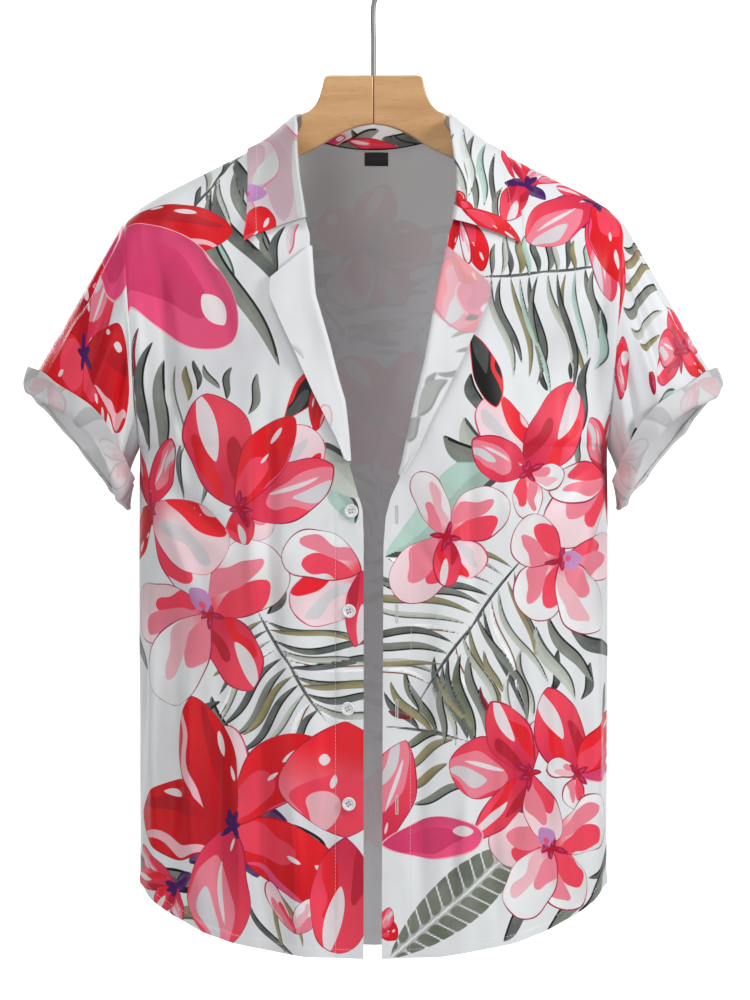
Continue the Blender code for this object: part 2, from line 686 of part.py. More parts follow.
def make_hanger():
    for side in ("right", "left"):
        sign = sign_of(side)
        outline = hanger_outline()
        half_gap = GAP / 2 / MM
        points = [(max(out, half_gap), down) for out, down in outline]
        board = bmesh.new()
        ring = [
            board.verts.new((sign * out * MM, -HANGER_THICKNESS / 2, HANGER_TOP - down * MM)) for out, down in points
        ]
        face = board.faces.new(ring)
        grown = bmesh.ops.extrude_face_region(board, geom=[face])
        moved = [item for item in grown["geom"] if isinstance(item, bmesh.types.BMVert)]
        bmesh.ops.translate(board, vec=(0, HANGER_THICKNESS, 0), verts=moved)
        bmesh.ops.recalc_face_normals(board, faces=board.faces)
        mesh = bpy.data.meshes.new(f"hanger_half_{side}")
        board.to_mesh(mesh)
        board.free()
        made = add_object(f"hanger_half_{side}", mesh, "wood")
        bevel = made.modifiers.new("rounded edges", "BEVEL")
        bevel.width = HANGER_BEVEL
        bevel.segments = 1
        bevel.limit_method = "ANGLE"
        bevel.angle_limit = math.radians(60)


def hook_route():
    """Centre line of the wire: straight up from the board, out to one side and round over the origin."""
    radius = HOOK_INNER_RADIUS + WIRE_RADIUS
    centre = -HOOK_INNER_RADIUS
    start = HANGER_TOP + GAP
    bend = centre - radius * 2.2
    join = math.radians(-35)
    route = [(0.0, start), (0.0, (start + bend) / 2), (0.0, bend), (radius * 0.28, centre - radius * 1.45),
             (radius * 0.62, centre - radius * 0.9)]
    for turn in np.arange(join, math.radians(201), math.radians(26)):
        route.append((radius * math.cos(turn), centre + radius * math.sin(turn)))
    return smooth_rows(route, HOOK_STEPS)


def make_hook():
    curve = bpy.data.curves.new("hanger_hook", "CURVE")
    curve.dimensions = "3D"
    curve.bevel_depth = WIRE_RADIUS
    curve.bevel_resolution = 2
    curve.use_fill_caps = True
    route = hook_route()
    spline = curve.splines.new("POLY")
    spline.points.add(len(route) - 1)
    for point, (x, z) in zip(spline.points, route):
        point.co = (x, 0.0, z, 1.0)
    curve.materials.append(material("steel"))
    made = bpy.data.objects.new("hanger_hook", curve)
    bpy.context.scene.collection.objects.link(made)


def main():
    clear_scene()
    make_cloth()
    make_hanger()
    make_hook()


main()
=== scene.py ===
"""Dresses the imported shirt: printed cloth shells, collar, lapels, cuffs, stitches, buttons, label, hanger.

Metres, +Z up, the front faces -Y and the wearer's right is at -X. Tables are in millimetres: "out" is the
distance from the centre line and "down" the distance below the flat top of the hanger.
"""

import math

import bmesh
import bpy
import numpy as np
from bpy.props import FloatProperty, FloatVectorProperty, PointerProperty
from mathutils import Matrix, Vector
from mathutils.bvhtree import BVHTree


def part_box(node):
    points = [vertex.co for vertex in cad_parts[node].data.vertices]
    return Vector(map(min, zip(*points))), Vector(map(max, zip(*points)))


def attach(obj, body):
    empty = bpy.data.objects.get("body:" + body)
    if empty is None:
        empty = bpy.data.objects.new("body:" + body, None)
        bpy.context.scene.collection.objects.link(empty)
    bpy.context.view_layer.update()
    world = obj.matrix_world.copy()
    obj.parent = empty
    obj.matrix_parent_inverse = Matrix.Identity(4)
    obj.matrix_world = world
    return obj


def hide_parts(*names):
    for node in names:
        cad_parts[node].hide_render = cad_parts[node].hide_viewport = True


bl_info = {
    "name": "Camp-collar shirt on a hanger",
    "version": (1, 0, 0),
    "blender": (4, 5, 0),
    "location": "3D View > Sidebar > Shirt",
    "description": "Makes the printed cloth, seams, buttons, label and wooden hanger of a short-sleeved shirt",
    "category": "Add Mesh",
}

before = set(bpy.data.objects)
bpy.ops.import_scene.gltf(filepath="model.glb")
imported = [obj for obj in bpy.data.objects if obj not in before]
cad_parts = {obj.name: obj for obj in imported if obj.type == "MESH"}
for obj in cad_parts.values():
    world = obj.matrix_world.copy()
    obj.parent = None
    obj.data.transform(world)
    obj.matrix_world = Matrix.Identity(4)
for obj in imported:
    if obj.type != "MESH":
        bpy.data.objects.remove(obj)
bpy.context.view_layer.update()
MM = 0.001
SIDES = ("right", "left")

# ---- sizes of the shirt ----

HANGER_TOP = -0.120
HALF_WIDTH = 0.204
ARM_HALF_WIDTH = 0.219
FRONT_DEPTH = 0.090
BACK_DEPTH = 0.085
HEM_TAPER = 0.93
ROUNDNESS = 2.5
ARMHOLE_HALF_DEPTH = 0.055
UNDERARM_DOWN = 325.0
NECK_OUT = 72.0
BACK_NECK_DEPTH = 0.048
BACK_NECK_DROP = 0.015
RIDGE_CROWDING = 1.4
SHOULDER_LINE = [(0, 47), (72, 47), (100, 62), (134, 79), (160, 92), (186, 105), (204, 116), (219, 129)]
HEM_LINE = [
    (0, 767), (58, 765), (83, 761), (121, 754), (148, 745), (174, 731), (192, 719), (204, 706),
]
FRONT_EDGE = {
    "right": [
        (72, 47), (69, 71), (62, 110), (59, 128), (55, 142), (55, 154), (52, 194), (40, 235), (32, 267),
        (26, 287), (23, 314), (21, 340), (15, 361), (9.5, 379), (8.5, 400), (8.5, 770),
    ],
    "left": [
        (72, 47), (73, 86), (73, 106), (69, 130), (64, 145), (64, 154), (56, 194), (50, 228), (46, 251),
        (36, 292), (32, 311), (26, 340), (22, 354), (15, 369), (10.5, 386), (8.6, 411), (7, 770),
    ],
}
LAPEL_ROWS = {
    "right": [
        (152, 89, 179), (172, 90, 194), (200, 80, 218), (235, 66, 248), (267, 53, 277), (290, 43, 297),
        (314, 33, 316), (338, 25, 336),
    ],
    "left": [
        (153, 99, 183), (170, 101, 194), (195, 97, 204), (228, 84, 234), (251, 75, 253), (280, 62, 279),
        (305, 50, 302), (330, 39, 326), (350, 26.5, 347),
    ],
}
LAPEL_LIFT = 0.0022
LAPEL_CLEARANCE = 0.0025
ROLL_GAP = 0.0004

# Large soft folds: out and down of the top, out and down of the bottom, half-width, depth of the trough.
FRONT_FOLDS = {
    "right": [(150, 330, 118, 745, 20, 6), (84, 300, 62, 760, 18, -5), (186, 400, 172, 720, 16, 5)],
    "left": [(140, 320, 152, 740, 20, 6), (96, 420, 78, 760, 18, -5), (184, 380, 190, 700, 15, 5)],
}
BACK_FOLDS = [
    (-60, 260, -86, 750, 22, 6), (20, 220, 6, 765, 24, 6), (98, 300, 120, 745, 20, 6),
    (-140, 340, -160, 730, 18, -4),
]

# Creases: out and down of both ends, bow of the line, half-width, height (a trough is negative).
CREASES = {
    "front_right": [
        (192, 150, 178, 330, 6, 7, -2.8), (206, 170, 196, 300, -4, 5, 2.0), (176, 128, 120, 250, 8, 9, -1.9),
        (196, 330, 120, 410, -6, 8, -2.8), (200, 350, 150, 470, 5, 7, 2.2), (180, 420, 176, 735, 3, 8, -3.4),
        (193, 440, 190, 700, 2, 5, 2.2), (128, 110, 96, 170, 5, 7, 1.1), (90, 250, 80, 560, -5, 8, -2.4),
        (104, 300, 98, 520, -4, 7, 1.5), (60, 470, 44, 700, 3, 8, 1.6), (160, 520, 152, 730, -3, 8, 2.6),
        (100, 560, 94, 755, 2, 8, -2.5), (134, 500, 138, 740, 4, 7, -2.0), (40, 380, 70, 440, 3, 6, -1.2),
        (70, 600, 66, 760, 2, 6, 1.8), (30, 420, 28, 560, 1, 5, 0.8), (118, 620, 116, 750, 2, 5, 1.4),
        (166, 250, 150, 400, -4, 7, -1.7), (44, 620, 40, 764, 2, 7, -1.4),
    ],
    "front_left": [
        (206, 160, 190, 320, 5, 7, -2.6), (190, 140, 150, 260, -5, 8, 1.8), (200, 335, 130, 400, 6, 8, -2.9),
        (196, 360, 160, 480, -4, 7, 2.1), (128, 430, 124, 740, 4, 8, -3.0), (150, 480, 158, 735, -4, 7, 2.4),
        (86, 290, 92, 500, 5, 7, -2.3), (56, 440, 50, 640, -3, 8, 1.5), (40, 560, 42, 764, 2, 7, -1.5),
        (184, 470, 186, 715, 3, 7, -2.8), (84, 560, 80, 758, 2, 7, 2.0), (150, 110, 128, 180, 4, 8, -1.3),
        (104, 560, 108, 750, 2, 6, -1.9), (196, 440, 194, 690, 2, 5, 2.2), (36, 400, 60, 440, 2, 5, -0.9),
        (170, 560, 172, 730, 1, 5, 1.7), (70, 640, 66, 762, 1, 6, -1.4), (112, 300, 118, 420, 2, 6, 1.3),
        (176, 240, 160, 360, -3, 7, -1.6),
    ],
    "back": [
        (-196, 160, -178, 330, 6, 8, -2.8), (196, 160, 180, 320, -6, 8, -2.8),
        (-150, 110, -90, 200, 8, 10, 1.8), (150, 110, 96, 190, -8, 10, 1.7),
        (-190, 340, -130, 420, 5, 8, -2.6), (192, 345, 136, 430, -5, 8, -2.6),
        (-30, 130, -46, 330, 5, 12, -2.2), (44, 150, 58, 360, -5, 11, -2.0),
        (-110, 430, -120, 735, 5, 9, 2.5), (-50, 440, -40, 755, 4, 9, -2.7), (60, 400, 66, 750, -4, 9, 2.6),
        (140, 440, 150, 735, 5, 8, -2.9), (176, 500, 180, 715, 3, 6, 2.1), (-176, 480, -182, 715, 3, 6, -2.5),
        (0, 520, 6, 764, 3, 8, 1.9), (100, 560, 96, 755, 2, 7, -2.2), (-84, 600, -80, 758, 2, 7, 1.9),
        (30, 560, 34, 762, 2, 7, -1.6), (-146, 540, -150, 740, 3, 7, -1.7),
    ],
}
# Sleeve creases: turn round the sleeve in degrees from the underarm up the front, share of the sleeve's
# length at both ends, drift in degrees, half-width in degrees, height in millimetres.
SLEEVE_CREASES = {
    "right": [
        (150, 0.0, 0.62, -14, 7, -2.4), (132, 0.02, 0.9, 10, 6, 1.9), (112, 0.0, 0.7, -8, 6, -2.2),
        (90, 0.25, 1.0, 12, 7, 1.8), (70, 0.05, 0.8, -6, 8, -2.6), (44, 0.1, 1.0, 8, 8, 2.0),
        (24, 0.0, 0.8, 0, 7, -2.2), (176, 0.3, 1.0, 8, 6, -1.4), (206, 0.0, 0.8, 8, 8, -2.0),
        (236, 0.2, 1.0, -6, 7, 1.8), (262, 0.0, 0.7, 5, 7, -2.2), (296, 0.1, 0.9, -6, 9, 1.6),
        (326, 0.0, 0.9, 4, 8, -2.0),
    ],
    "left": [
        (158, 0.0, 0.7, -10, 7, -2.2), (138, 0.1, 1.0, 12, 7, 1.9), (116, 0.0, 0.8, -10, 6, -2.5),
        (96, 0.3, 1.0, 6, 6, 1.7), (74, 0.0, 0.9, -8, 8, -2.4), (50, 0.1, 0.9, 8, 8, 2.2),
        (28, 0.0, 1.0, 0, 7, -2.0), (182, 0.2, 1.0, 6, 6, -1.5), (212, 0.0, 0.9, 6, 8, -2.1),
        (242, 0.1, 1.0, -8, 7, 1.8), (270, 0.0, 0.8, 6, 7, -2.0), (300, 0.2, 0.9, -4, 9, 1.7),
        (332, 0.0, 0.9, 4, 8, -1.9),
    ],
}

CUFF_TOP = (302, 272)
CUFF_BOTTOM = (216, 377)
CUFF_HALF_DEPTH = 0.050
CUFF_FRONT_LIFT = 0.018
UNDERSLEEVE_BOW = 0.004
CUFF_SECTION = [
    (-0.3, -0.75), (-1.5, -0.6), (-2.4, 0.5), (-2.1, 2.0), (-0.8, 3.0), (3.0, 3.5), (10.0, 4.3), (17.0, 5.2),
]

COLLAR = {
    "right": [
        (59.5, 127, -68, 110, 148, -57), (61, 112, -66, 110, 130, -54), (64, 92, -59, 109, 108, -46),
        (66, 66, -46, 108, 86, -30), (66, 45, -22, 107, 69, -8), (66.5, 35, 3, 101, 64, 22),
        (54, 32, 31, 76, 70, 58), (30, 31, 45, 40, 78, 74), (0, 31, 49, 0, 81, 79),
    ],
    "left": [
        (70, 129, -68, 128, 149, -57), (72.5, 112, -66, 129, 130, -54), (72, 92, -59, 127, 108, -46),
        (69, 66, -46, 121, 88, -30), (66, 43, -22, 112, 71, -8), (65.5, 34, 3, 103, 65, 22),
        (54, 32, 31, 76, 70, 58), (30, 31, 45, 40, 78, 74), (0, 31, 49, 0, 81, 79),
    ],
}
FOLD_RADIUS = 0.0017
FALL_BOW = 0.002
NECK_CENTRE = np.array([0.0, -0.005, 0.0])
COLLAR_CLEARANCE = 0.0026
SEAM_RAISE = 0.0010
CAD_WALL = 0.0015
GAP = 0.0003
LABEL_RISE = 0.0018

# Rows of the panels' grids below and above the underarm, and their columns; the sleeves' rings and columns.
FRONT_ROWS, FRONT_COLUMNS = (296, 212), 168
BACK_ROWS, BACK_COLUMNS = (208, 142), 214
SLEEVE_RINGS, SLEEVE_COLUMNS = 96, 336

# Hem and facing in millimetres, stitches in metres.
HEM_WIDTH = 8.0
FACING_WIDTH = 24.0
STITCH_GAP = 0.0008
STITCH_RAISE = 0.00012

BUTTON_RADIUS = 0.006
BUTTON_THICKNESS = 0.0024
BUTTON_HOLE = 0.00085
# The button's section, from under its middle out round the rim: shares of the radius and of the thickness.
BUTTON_SECTION = [
    (0.80, 0.0), (0.92, 0.08), (0.985, 0.24), (1.0, 0.42), (0.985, 0.66), (0.95, 0.88), (0.89, 0.98),
    (0.82, 1.0), (0.75, 0.97), (0.69, 0.86), (0.64, 0.76), (0.56, 0.72),
]
BUTTONS = [(19, 381), (21, 467), (22, 551), (21, 633)]
BUTTONHOLES = [(20, 384), (20, 469), (20, 551), (20, 634)]

NECK_PROFILE = [
    (38, 0), (41.5, 1), (43.4, 4), (45, 11), (47.5, 19), (51, 26), (56, 31), (61.5, 33.4), (63, 36),
    (63.4, 44), (67, 50),
]
ARM_STATIONS = [72, 84, 100, 118, 136, 154, 172, 184]
ARM_END = 195
ARM_UNDER_RIDGE = 2.9
ARM_HEIGHTS = (24.0, 17.0)
ARCH = [(62, 69), (52, 64.5), (42, 58.5), (32, 52.5), (22, 47.5), (11, 44), (0, 42.5)]
HANGER_THICKNESS = 0.013
WIRE_RADIUS = 0.0022
HOOK_INNER_RADIUS = 0.017

FLOOR_Z = -1.75
BACKDROP_Y = 7.4
CAMERA_X = 0.0013
CAMERA_Z = -0.4915
SENSOR_HEIGHT = 24.0

# ---- the print ----

INKS = {
    "red": "#E20D1C", "deep_red": "#BE0A1E", "scarlet": "#F22130", "coral": "#F8465F", "rose": "#EE5283",
    "deep_rose": "#DC3B70", "pink": "#F4889B", "pale": "#F6BFC9", "blush": "#F7DCE2", "white": "#EEF0F2",
    "crimson": "#A81545", "purple": "#46145F", "lilac": "#C58FC8", "black": "#141415", "mauve": "#D9CBD2",
    "grey": "#737870", "slate": "#4C5150", "olive": "#8B8058", "teal": "#A7C4BA", "ash": "#B4B9B0",
    "brown": "#84502E", "moss": "#5F6650", "mist": "#D5DBD8", "ruby": "#C21C36", "frost": "#DCD9DE",
    "bark": "#5E2022", "wash": "#CDB2BC", "cerise": "#DC2C50",
}
# Petal styles: ink at the base, ink at the tip, ink of the inner patch and its place (from, to, width and
# sideways shift as shares), ink of the second patch and its place, place of the pale gleam, ink of the rim.
PETALS = {
    "red": (
        "deep_red", "red", "deep_red", (0.24, 0.92, 0.20, -0.20), "pale", (0.06, 0.99, 0.14, 0.76),
        (0.50, 0.70, 0.10, -0.48), "deep_red"),
    "scarlet": (
        "scarlet", "red", "coral", (0.02, 0.52, 0.50, 0.10), "rose", (0.20, 0.96, 0.13, -0.78),
        (0.66, 0.86, 0.11, 0.30), "deep_red"),
    "coral": (
        "cerise", "coral", "ruby", (0.05, 0.58, 0.26, -0.32), "scarlet", (0.02, 0.70, 0.24, 0.58),
        (0.42, 1.02, 0.27, 0.26), "crimson"),
    "rose": (
        "deep_rose", "rose", "deep_rose", (0.05, 0.80, 0.52, 0.20), "pale", (0.05, 0.70, 0.20, -0.92),
        (0.70, 0.90, 0.26, -0.08), "pale"),
    "pink": (
        "cerise", "coral", "pink", (0.26, 1.02, 0.62, 0.30), "frost", (0.52, 0.98, 0.24, 0.44),
        (0.30, 0.84, 0.08, 0.02), "crimson"),
    "blush": (
        "coral", "blush", "coral", (0.05, 0.62, 0.38, -0.26), "pink", (0.04, 0.74, 0.44, 0.34),
        (0.97, 0.99, 0.02, 0.40), "crimson"),
    "white_coral": (
        "coral", "white", "coral", (0.04, 0.74, 0.46, -0.30), "pink", (0.05, 0.82, 0.32, 0.44),
        (0.97, 0.99, 0.02, 0.0), "crimson"),
    "white_red": (
        "pink", "blush", "scarlet", (0.00, 0.90, 0.36, -0.54), "frost", (0.20, 0.90, 0.24, 0.30),
        (0.97, 0.99, 0.02, 0.0), "deep_rose"),
    "white": (
        "pink", "white", "pink", (0.02, 0.56, 0.40, -0.22), "pale", (0.10, 0.80, 0.30, 0.40),
        (0.97, 0.99, 0.02, 0.0), "crimson"),
    "night": (
        "black", "black", "slate", (0.46, 0.99, 0.44, 0.10), "scarlet", (0.02, 0.97, 0.20, 0.86),
        (0.93, 0.97, 0.03, 0.0), "scarlet"),
    "star": (
        "purple", "purple", "crimson", (0.0, 0.2, 0.3, 0.0), "purple", (0.3, 0.5, 0.2, 0.0),
        (0.98, 0.99, 0.01, 0.0), "purple"),
    "throat": (
        "crimson", "crimson", "deep_red", (0.0, 0.6, 0.5, 0.0), "deep_rose", (0.4, 0.9, 0.3, 0.2),
        (0.98, 0.99, 0.01, 0.0), "crimson"),
    "disc": (
        "pink", "scarlet", "coral", (0.0, 0.56, 0.84, 0.0), "pale", (0.05, 0.40, 0.30, 0.36),
        (0.62, 0.72, 0.10, 0.5), "crimson"),
    "mauve": (
        "wash", "mauve", "wash", (0.05, 0.9, 0.5, 0.3), "mist", (0.3, 0.98, 0.36, -0.5),
        (0.97, 0.98, 0.02, 0.0), "rose"),
    "lilac": (
        "lilac", "lilac", "rose", (0.2, 0.5, 0.3, 0.0), "lilac", (0.5, 0.9, 0.4, 0.0),
        (0.98, 0.99, 0.01, 0.0), "lilac"),
}
PALE_PETALS = ("blush", "white_coral", "white_red", "white")
# Leaf styles: ink, ink of the line along one edge.
LEAVES = {
    "grey": ("grey", "black"), "slate": ("slate", "black"), "olive": ("olive", "moss"),
    "ash": ("ash", "slate"), "teal": ("teal", "slate"), "mist": ("mist", "grey"), "brown": ("olive", "brown"),
    "white": ("white", "brown"), "night": ("black", "black"), "blush": ("blush", "crimson"),
    "moss": ("moss", "black"), "bark": ("bark", "crimson"), "plum": ("mauve", "rose"),
    "web": ("purple", "purple"),
}
# Flowers: out and down of the centre (out is signed, negative at the wearer's right), kind of the centre,
# then petals: out and down of the tip, width, style.
FLOWERS = {
    "front_right": [
        (-231, 147, None, [(-122, 139, 42, "red"), (-122, 235, 66, "rose")]),
        (-117, 378, "throat", [
            (-146, 280, 56, "coral"), (-68, 300, 34, "scarlet"), (-46, 316, 44, "white_red"),
            (-34, 342, 46, "pink"), (-108, 410, 22, "coral"), (-90, 402, 24, "blush")]),
        (-193, 378, "throat", [
            (-209, 325, 20, "coral"), (-175, 318, 27, "pink"), (-206, 424, 32, "red"),
            (-128, 420, 52, "white_red"), (-130, 453, 50, "white_coral")]),
        (-142, 470, "throat", [
            (-76, 426, 56, "white_coral"), (-203, 464, 50, "blush"), (-180, 548, 50, "white"),
            (-105, 536, 42, "coral"), (-158, 448, 14, "lilac")]),
        (-10, 432, None, [
            (-79, 418, 40, "white_coral"), (-70, 467, 46, "white_red"), (-16, 498, 24, "coral")]),
        (-122, 652, "star", [
            (-157, 541, 46, "red"), (-128, 566, 30, "white_red"), (-201, 643, 58, "red"),
            (-45, 580, 46, "scarlet"), (-23, 718, 52, "scarlet"), (-128, 756, 50, "pink")]),
        (-172, 706, "star", [
            (-202, 672, 19, "pink"), (-204, 700, 16, "coral"), (-188, 730, 18, "coral"),
            (-166, 738, 12, "pink")]),
        (-24, 662, None, [(-24, 562, 88, "disc"), (-30, 762, 50, "coral")]),
        (-40, 252, None, [(-78, 304, 20, "night"), (-50, 312, 14, "red")]),
        (-66, 745, None, [(-48, 716, 20, "white"), (-92, 700, 12, "blush")]),
    ],
    "front_left": [
        (133, 98, "star", [
            (120, 66, 14, "coral"), (170, 84, 14, "pink"), (112, 128, 22, "coral"), (150, 78, 12, "white")]),
        (196, 113, "star", [
            (133, 147, 38, "pink"), (210, 181, 34, "scarlet"), (160, 97, 18, "coral"), (206, 200, 24, "pink")]),
        (106, 292, None, [(85, 228, 22, "night")]),
        (74, 126, None, [(94, 174, 18, "scarlet"), (82, 168, 8, "white"), (66, 160, 10, "red")]),
        (134, 348, "throat", [
            (172, 269, 46, "coral"), (98, 282, 40, "white_red"), (85, 319, 32, "pink"),
            (132, 388, 26, "white_coral"), (166, 352, 20, "white")]),
        (203, 349, "throat", [
            (189, 300, 25, "pink"), (152, 406, 44, "blush"), (152, 362, 30, "white_coral"),
            (206, 300, 12, "coral"), (206, 404, 30, "coral")]),
        (162, 423, "throat", [
            (127, 390, 40, "white_coral"), (204, 414, 36, "blush"), (136, 474, 42, "white_coral"),
            (197, 482, 44, "white"), (178, 420, 14, "lilac")]),
        (62, 403, "throat", [
            (116, 371, 38, "white_coral"), (64, 446, 22, "coral"), (23, 458, 40, "blush"),
            (92, 434, 28, "white_red"), (37, 348, 26, "white")]),
        (136, 608, "throat", [
            (101, 545, 34, "coral"), (65, 597, 46, "pink"), (88, 663, 24, "coral"), (158, 666, 27, "blush"),
            (140, 562, 12, "blush")]),
        (178, 609, "throat", [
            (150, 533, 46, "coral"), (204, 560, 30, "scarlet"), (208, 594, 26, "rose"),
            (176, 640, 24, "white_coral"), (150, 600, 16, "white")]),
        (153, 672, "throat", [
            (100, 663, 42, "blush"), (202, 643, 42, "white_coral"), (179, 724, 38, "white_coral"),
            (124, 732, 42, "white"), (144, 655, 13, "lilac")]),
        (6, 668, None, [(95, 660, 31, "rose"), (28, 578, 40, "pink")]),
        (4, 745, None, [(20, 738, 18, "scarlet"), (14, 722, 12, "pink")]),
    ],
}
# Single leaves: out and down of the base, out and down of the tip, width, bend as a share of the length, style.
SINGLE_LEAVES = {
    "front_right": [
        (-137, 96, -81, 188, 13, 0.10, "slate"), (-141, 101, -81, 257, 15, 0.09, "grey"),
        (-120, 75, -108, 132, 12, -0.08, "slate"), (-118, 80, -86, 170, 11, 0.08, "grey"),
        (-147, 118, -127, 206, 11, -0.06, "teal"), (-152, 120, -148, 190, 5, 0.05, "olive"),
        (-152, 160, -146, 200, 6, 0.04, "brown"), (-110, 150, -86, 178, 7, -0.1, "slate"),
        (-203, 222, -207, 300, 10, 0.03, "bark"), (-191, 234, -197, 330, 12, 0.05, "slate"),
        (-182, 250, -191, 346, 13, -0.05, "grey"), (-172, 254, -166, 332, 11, 0.06, "mist"),
        (-76, 134, -88, 188, 8, 0.08, "slate"), (-96, 142, -84, 176, 7, 0.05, "grey"),
        (-64, 132, -74, 160, 8, 0.1, "plum"), (-162, 255, -160, 286, 8, 0.0, "olive"),
        (-147, 254, -132, 276, 6, 0.1, "grey"), (-206, 230, -208, 330, 8, 0.04, "white"),
        (-152, 277, -156, 250, 6, 0.1, "night"), (-127, 285, -122, 256, 7, -0.1, "slate"),
        (-108, 298, -100, 262, 8, 0.08, "grey"), (-160, 310, -166, 372, 5, 0.1, "slate"),
        (-148, 330, -150, 376, 5, -0.1, "grey"), (-42, 322, -12, 370, 34, 0.05, "ash"),
        (-34, 350, -16, 392, 20, 0.05, "teal"), (-92, 470, -78, 432, 13, 0.12, "slate"),
        (-204, 480, -196, 520, 10, 0.1, "grey"), (-132, 545, -172, 590, 12, 0.06, "slate"),
        (-140, 540, -106, 600, 14, 0.08, "grey"), (-206, 670, -140, 706, 18, 0.1, "grey"),
        (-150, 716, -176, 706, 8, 0.1, "night"), (-36, 640, -60, 596, 12, 0.1, "slate"),
        (-70, 650, -44, 690, 18, -0.1, "grey"), (-110, 712, -66, 766, 5, 0.1, "slate"),
        (-92, 700, -60, 760, 4, -0.1, "brown"), (-80, 690, -76, 764, 4, 0.1, "olive"),
        (-150, 735, -176, 728, 12, 0.1, "olive"), (-66, 368, -20, 340, 9, 0.1, "brown"),
    ],
    "front_left": [
        (127, 336, 10, 420, 40, 0.05, "teal"), (118, 350, 96, 330, 18, 0.0, "ash"),
        (80, 352, 104, 338, 8, 0.1, "brown"), (78, 300, 104, 352, 20, 0.04, "ash"),
        (60, 316, 104, 346, 18, 0.04, "grey"), (84, 262, 96, 300, 12, 0.1, "slate"),
        (168, 478, 206, 510, 14, 0.06, "slate"), (150, 470, 190, 530, 12, 0.05, "grey"),
        (140, 480, 176, 545, 13, 0.05, "ash"), (150, 540, 160, 500, 9, 0.1, "night"),
        (182, 545, 188, 512, 8, 0.1, "slate"), (196, 560, 202, 530, 9, 0.1, "grey"),
        (186, 700, 206, 664, 10, 0.1, "slate"), (176, 728, 202, 690, 12, 0.1, "grey"),
        (150, 745, 182, 722, 12, -0.1, "grey"), (112, 752, 140, 722, 12, -0.1, "slate"),
        (52, 505, 81, 578, 9, 0.05, "slate"), (75, 503, 87, 580, 9, 0.06, "moss"),
        (84, 500, 98, 576, 9, 0.05, "grey"), (95, 500, 113, 540, 6, 0.05, "olive"),
        (92, 532, 101, 570, 7, 0.0, "bark"), (27, 515, 55, 573, 8, 0.05, "moss"),
        (14, 526, 52, 573, 8, 0.06, "olive"), (62, 526, 60, 582, 7, 0.05, "grey"),
        (61, 572, 21, 586, 8, 0.06, "moss"), (70, 577, 23, 606, 8, 0.05, "olive"),
        (64, 598, 24, 620, 8, -0.05, "olive"), (9, 536, 40, 570, 7, 0.05, "slate"),
        (12, 552, 34, 560, 5, 0.05, "bark"), (8, 566, 84, 580, 2.6, -0.03, "slate"),
        (40, 558, 30, 528, 6, 0.08, "grey"), (84, 618, 34, 634, 8, 0.05, "grey"),
        (118, 520, 122, 585, 9, 0.05, "mist"), (128, 500, 138, 560, 8, 0.05, "ash"),
        (189, 248, 181, 312, 9, 0.06, "slate"), (198, 206, 192, 260, 8, -0.08, "teal"),
        (146, 262, 150, 278, 5, 0.1, "night"), (170, 252, 171, 268, 4, 0.0, "night"),
        (180, 316, 176, 344, 8, 0.05, "grey"), (120, 640, 140, 628, 9, 0.2, "night"),
    ],
}
# Palm fronds: out and down of both ends of the midrib, bow, leaflets a side, then for the left and the
# right side of its run the leaflets' angle and length, their width, spread of inks.
FRONDS = {
    "front_right": [
        (-115, 72, -162, 126, 2, 4, (60, 40), (150, 30), 6, ("slate", "ash")),
        (
            -97, 470, -44, 556, 4, 11, (52, 92), (68, 74), 6.6,
            ("grey", "olive", "slate", "ash", "white", "slate")),
    ],
    "front_left": [
        (
            97, 178, 196, 169, 2, 12, (84, 34), (88, 96), 6.6,
            ("grey", "ash", "slate", "olive", "teal", "slate")),
        (126, 427, 46, 536, 5, 13, (58, 88), (64, 104), 6.6, ("grey", "olive", "ash", "white", "slate")),
    ],
}
# Broad ribbed leaves: out and down of both ends, width, slits a side.
RIBBED_LEAVES = {
    "front_left": [(14, 766, 116, 678, 46, 11)],
}


def linear(hex_ink):
    """An sRGB hex colour as linear red, green and blue."""
    parts = np.array([int(hex_ink[i : i + 2], 16) for i in (1, 3, 5)]) / 255
    return np.where(parts <= 0.04045, parts / 12.92, ((parts + 0.055) / 1.055) ** 2.4)


INK = {name: linear(value) for name, value in INKS.items()}
LEAF_LAYERS = ("leaf_a", "leaf_b", "leaf_c")
PETAL_LAYERS = ("petal_a", "petal_b", "petal_c", "petal_d")
FAR = -6.0  # millimetres outside every motif
FACE_BLUR, REVERSE_BLUR = 0.22, 0.7  # of the print's edges, in millimetres
THREAD_WIDTH, THREAD_DEPTH = 0.00032, 0.00008  # of the weave


# ---- helpers ----


def height(down):
    """World height of a distance in millimetres below the hanger's flat top."""
    return HANGER_TOP - np.asarray(down, dtype=float) * MM


def down_of(z):
    return (HANGER_TOP - z) / MM


def along(table, column, where, key=0):
    """Value of one column of a table at a value of its key column."""
    rows = sorted(table, key=lambda row: row[key])
    return np.interp(where, [row[key] for row in rows], [row[column] for row in rows])


def unit(vectors):
    return vectors / np.maximum(np.linalg.norm(vectors, axis=-1, keepdims=True), 1e-12)


def smoothstep(low, high, value):
    share = np.clip((value - low) / (high - low), 0.0, 1.0)
    return share * share * (3 - 2 * share)


def sign_of(side):
    return -1.0 if side == "right" else 1.0


def bell(distance, half_width):
    """A bell curve over a distance: one at nought, falling to 1/e at the half-width."""
    return np.exp(-((distance / half_width) ** 2))


def front_view(points):
    """Out (signed) and down of points as the front view shows them, in millimetres."""
    return np.stack([points[..., 0] / MM, down_of(points[..., 2])], axis=-1)


def run_along(points):
    """Length along each column of a grid, or along a line, from nought at its first point."""
    steps = np.linalg.norm(np.diff(points, axis=0), axis=-1)
    return np.concatenate([np.zeros((1, *steps.shape[1:])), np.cumsum(steps, axis=0)])


